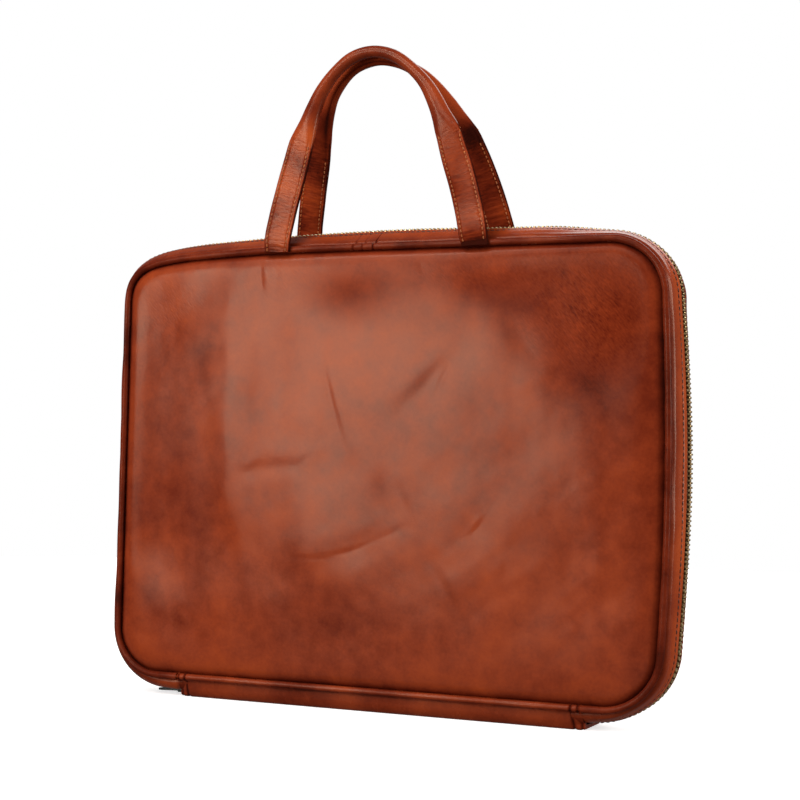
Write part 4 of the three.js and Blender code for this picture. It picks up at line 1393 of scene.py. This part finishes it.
def leather(name, wrinkles, depth, crinkled, roughness):
    """Hand-finished leather: cloudy tones by the shade field, a fine grain, and wrinkles of a depth,
    crinkled ones with painted shade in their furrows.
    """
    material, tree, shader, where = new_material(name)
    shade = field(tree, "shade")
    mottles = noise(tree, where, MOTTLES)
    specks = noise(tree, where, SPECKS)
    tone = worked_out(tree, "MULTIPLY_ADD", specks, SPECK_TONE, shade)
    tone = worked_out(tree, "MULTIPLY_ADD", mottles, MOTTLE_TONE, tone)
    tone = worked_out(tree, "MULTIPLY_ADD", noise(tree, where, CLOUDS), CLOUD_TONE, tone)
    tone = worked_out(tree, "SUBTRACT", tone, (CLOUD_TONE + MOTTLE_TONE + SPECK_TONE) * NOISE_MIDDLE)
    crinkles = noise(tree, wrinkles(tree, where), WRINKLES)
    crinkles = worked_out(tree, "SUBTRACT", crinkles, NOISE_MIDDLE)
    # Crinkled leather gets painted shade in its wrinkles' furrows and painted light on their ridges
    if crinkled:
        crinkles = worked_out(tree, "MULTIPLY", crinkles, field(tree, "crinkle"))
        tone = worked_out(tree, "MULTIPLY_ADD", crinkles, WRINKLE_PAINTED_SHADE, tone)
    folded = bump(tree, crinkles, depth)
    cells = node(tree, "TexVoronoi", {"Vector": where, "Scale": GRAIN_SCALE}, feature="SMOOTH_F1")
    grained = bump(tree, cells.outputs["Distance"], GRAIN_DEPTH, folded)
    glossy = worked_out(tree, "SUBTRACT", shade, field(tree, "dull"))
    set_inputs(shader, {
        "Base Color": ramp(tree, tone, LEATHER_TONES),
        "Roughness": in_range(tree, mottles, roughness),
        "Normal": bump(tree, specks, GRAIN_DEPTH, grained),
        "Specular IOR Level": in_range(tree, glossy, GLOSS_LEVELS, GLOSS_SHADES),
        "Specular Tint": GLOSS_TINT,
    })
    return material


def woven_tape():
    material, tree, shader, _ = new_material("zip_tape_weave")
    strap = field(tree, "strap", "Vector")
    yarns = [
        node(tree, "TexWave", {"Vector": strap, "Scale": scale}, bands_direction=way).outputs["Fac"]
        for way, scale in WEAVE_SCALES.items()
    ]
    weave = worked_out(tree, "MAXIMUM", *yarns)
    tone = worked_out(tree, "MULTIPLY_ADD", weave, WEAVE_TONE, noise(tree, strap, FUZZ))
    set_inputs(shader, {
        "Base Color": ramp(tree, tone, WEAVE_TONES),
        "Normal": bump(tree, weave, WEAVE_DEPTH),
        "Roughness": 0.85,
        "Sheen Weight": 0.2,
    })
    return material


def thread_material(name, tones):
    material, tree, shader, where = new_material(name)
    set_inputs(shader, {
        "Base Color": ramp(tree, noise(tree, where, THREAD_CLOUDS), tones),
        "Normal": bump(tree, noise(tree, where, FIBRES), FIBRE_DEPTH),
        "Roughness": 0.6,
    })
    return material


def metal(name, tones, roughness, metallic):
    """Cast metal, smoother where it is lighter."""
    material, tree, shader, where = new_material(name)
    tarnish = noise(tree, where, TARNISH)
    set_inputs(shader, {
        "Base Color": ramp(tree, tarnish, tones),
        "Roughness": in_range(tree, tarnish, roughness),
        "Normal": bump(tree, noise(tree, where, PITS), PIT_DEPTH),
        "Metallic": metallic,
    })
    return material


def pale_floor():
    material, tree, shader, where = new_material("pale_floor")
    set_inputs(shader, {
        "Base Color": ramp(tree, noise(tree, where, FLOOR_CLOUDS), FLOOR_TONES),
        "Roughness": 0.9,
        "Specular IOR Level": 0.1,
        "Emission Color": WHITE,
        "Emission Strength": FLOOR_GLOW,
    })
    return material


# Scene: floor, light and camera
def add_floor():
    angle = round_angles(FLOOR_POINTS)
    points = np.column_stack([np.cos(angle), np.sin(angle), np.zeros(FLOOR_POINTS)]) * FLOOR_RADIUS
    mesh = bpy.data.meshes.new("floor")
    mesh.from_pydata(points.tolist(), [], [list(range(FLOOR_POINTS))])
    mesh.materials.append(pale_floor())
    ground = add_object("floor", mesh)
    ground.visible_diffuse = False
    ground.visible_glossy = False
    ground.visible_shadow = False


def add_softboxes():
    for box in SOFTBOXES:
        light = bpy.data.lights.new(box.name, "AREA")
        light.shape = "RECTANGLE"
        light.size = box.wide
        light.size_y = box.high
        light.energy = box.power
        light.color = box.tint
        lamp = add_object(box.name, light)
        lamp.location = box.place
        lamp.visible_glossy = box.name != MATT_LIGHT
        facing = (Vector(box.aim) - Vector(box.place)).to_track_quat("-Z", "Y")
        lamp.rotation_euler = (facing @ Quaternion((0, 0, 1), math.radians(box.turn))).to_euler()


def add_world():
    """A pale room, which the camera sees as white."""
    world = bpy.data.worlds.new("studio")
    bpy.context.scene.world = world
    world.use_nodes = True
    tree = world.node_tree
    seen = node(tree, "LightPath", {}).outputs["Is Camera Ray"]
    strength = in_range(tree, seen, (WORLD_LIGHT, 1), (0, 1))
    set_inputs(tree.nodes["Background"], {"Color": WHITE, "Strength": strength})


def add_camera():
    forward = Vector((
        -math.sin(CAMERA_YAW) * math.cos(CAMERA_PITCH),
        math.cos(CAMERA_YAW) * math.cos(CAMERA_PITCH),
        math.sin(CAMERA_PITCH),
    ))
    level = Vector((math.cos(CAMERA_YAW), math.sin(CAMERA_YAW), 0))
    upright = level.cross(forward)
    right = math.cos(CAMERA_ROLL) * level + math.sin(CAMERA_ROLL) * upright
    up = math.cos(CAMERA_ROLL) * upright - math.sin(CAMERA_ROLL) * level
    camera = add_object("camera", bpy.data.cameras.new("camera"))
    camera.data.lens = CAMERA_LENS
    camera.data.sensor_width = SENSOR_WIDTH
    turn = Matrix((right, up, -forward)).transposed()
    camera.matrix_world = Matrix.Translation(Vector(CAMERA_PLACE) * MM) @ turn.to_4x4()
    bpy.context.scene.camera = camera


# The case
add_camera()
add_softboxes()
add_world()
add_floor()
bpy.context.scene.view_settings.view_transform = "Standard"

panel_leather = leather("panel_leather", panel_wrinkles, depth=0.22, crinkled=True, roughness=(0.21, 0.27))
edge_leather = leather("edge_leather", strap_wrinkles, depth=0.05, crinkled=False, roughness=(0.22, 0.3))
handle_leather = leather("handle_leather", strap_wrinkles, depth=0.5, crinkled=True, roughness=(0.21, 0.29))
weave = woven_tape()
orange_thread = thread_material("orange_thread", ORANGE_THREAD)
brown_thread = thread_material("brown_thread", BROWN_THREAD)
brass = metal("antique_brass", BRASS_TONES, roughness=(0.42, 0.2), metallic=0.6)
gunmetal = metal("gunmetal", GUNMETAL_TONES, roughness=(0.44, 0.26), metallic=1)

panel("front_panel", FRONT, FRONT_GRID_STEPS, front_relief, front_shade, panel_leather)
panel("back_panel", BACK, BACK_GRID_STEPS, back_relief, back_shade, panel_leather)
for word, side in (("front", FRONT), ("back", BACK)):
    piping(word, side, edge_leather)
    gusset(word, side, edge_leather)
    thread(word + "_zip_stitches", gusset_stitches(side), brown_thread)
    tape(word, side, weave)
base_strip(edge_leather)
zip_teeth(brass)
for lean in HANDLE_LEANS:
    handle(lean, handle_leather)
    thread(lean.name + "_stitches", handle_stitches(lean), orange_thread)
rounded_metal("zip_slider_cast", "zip_slider", gunmetal, "case", rounding=0.22)
rounded_metal("zip_puller_cast", "zip_puller", gunmetal, "puller", rounding=0.25)
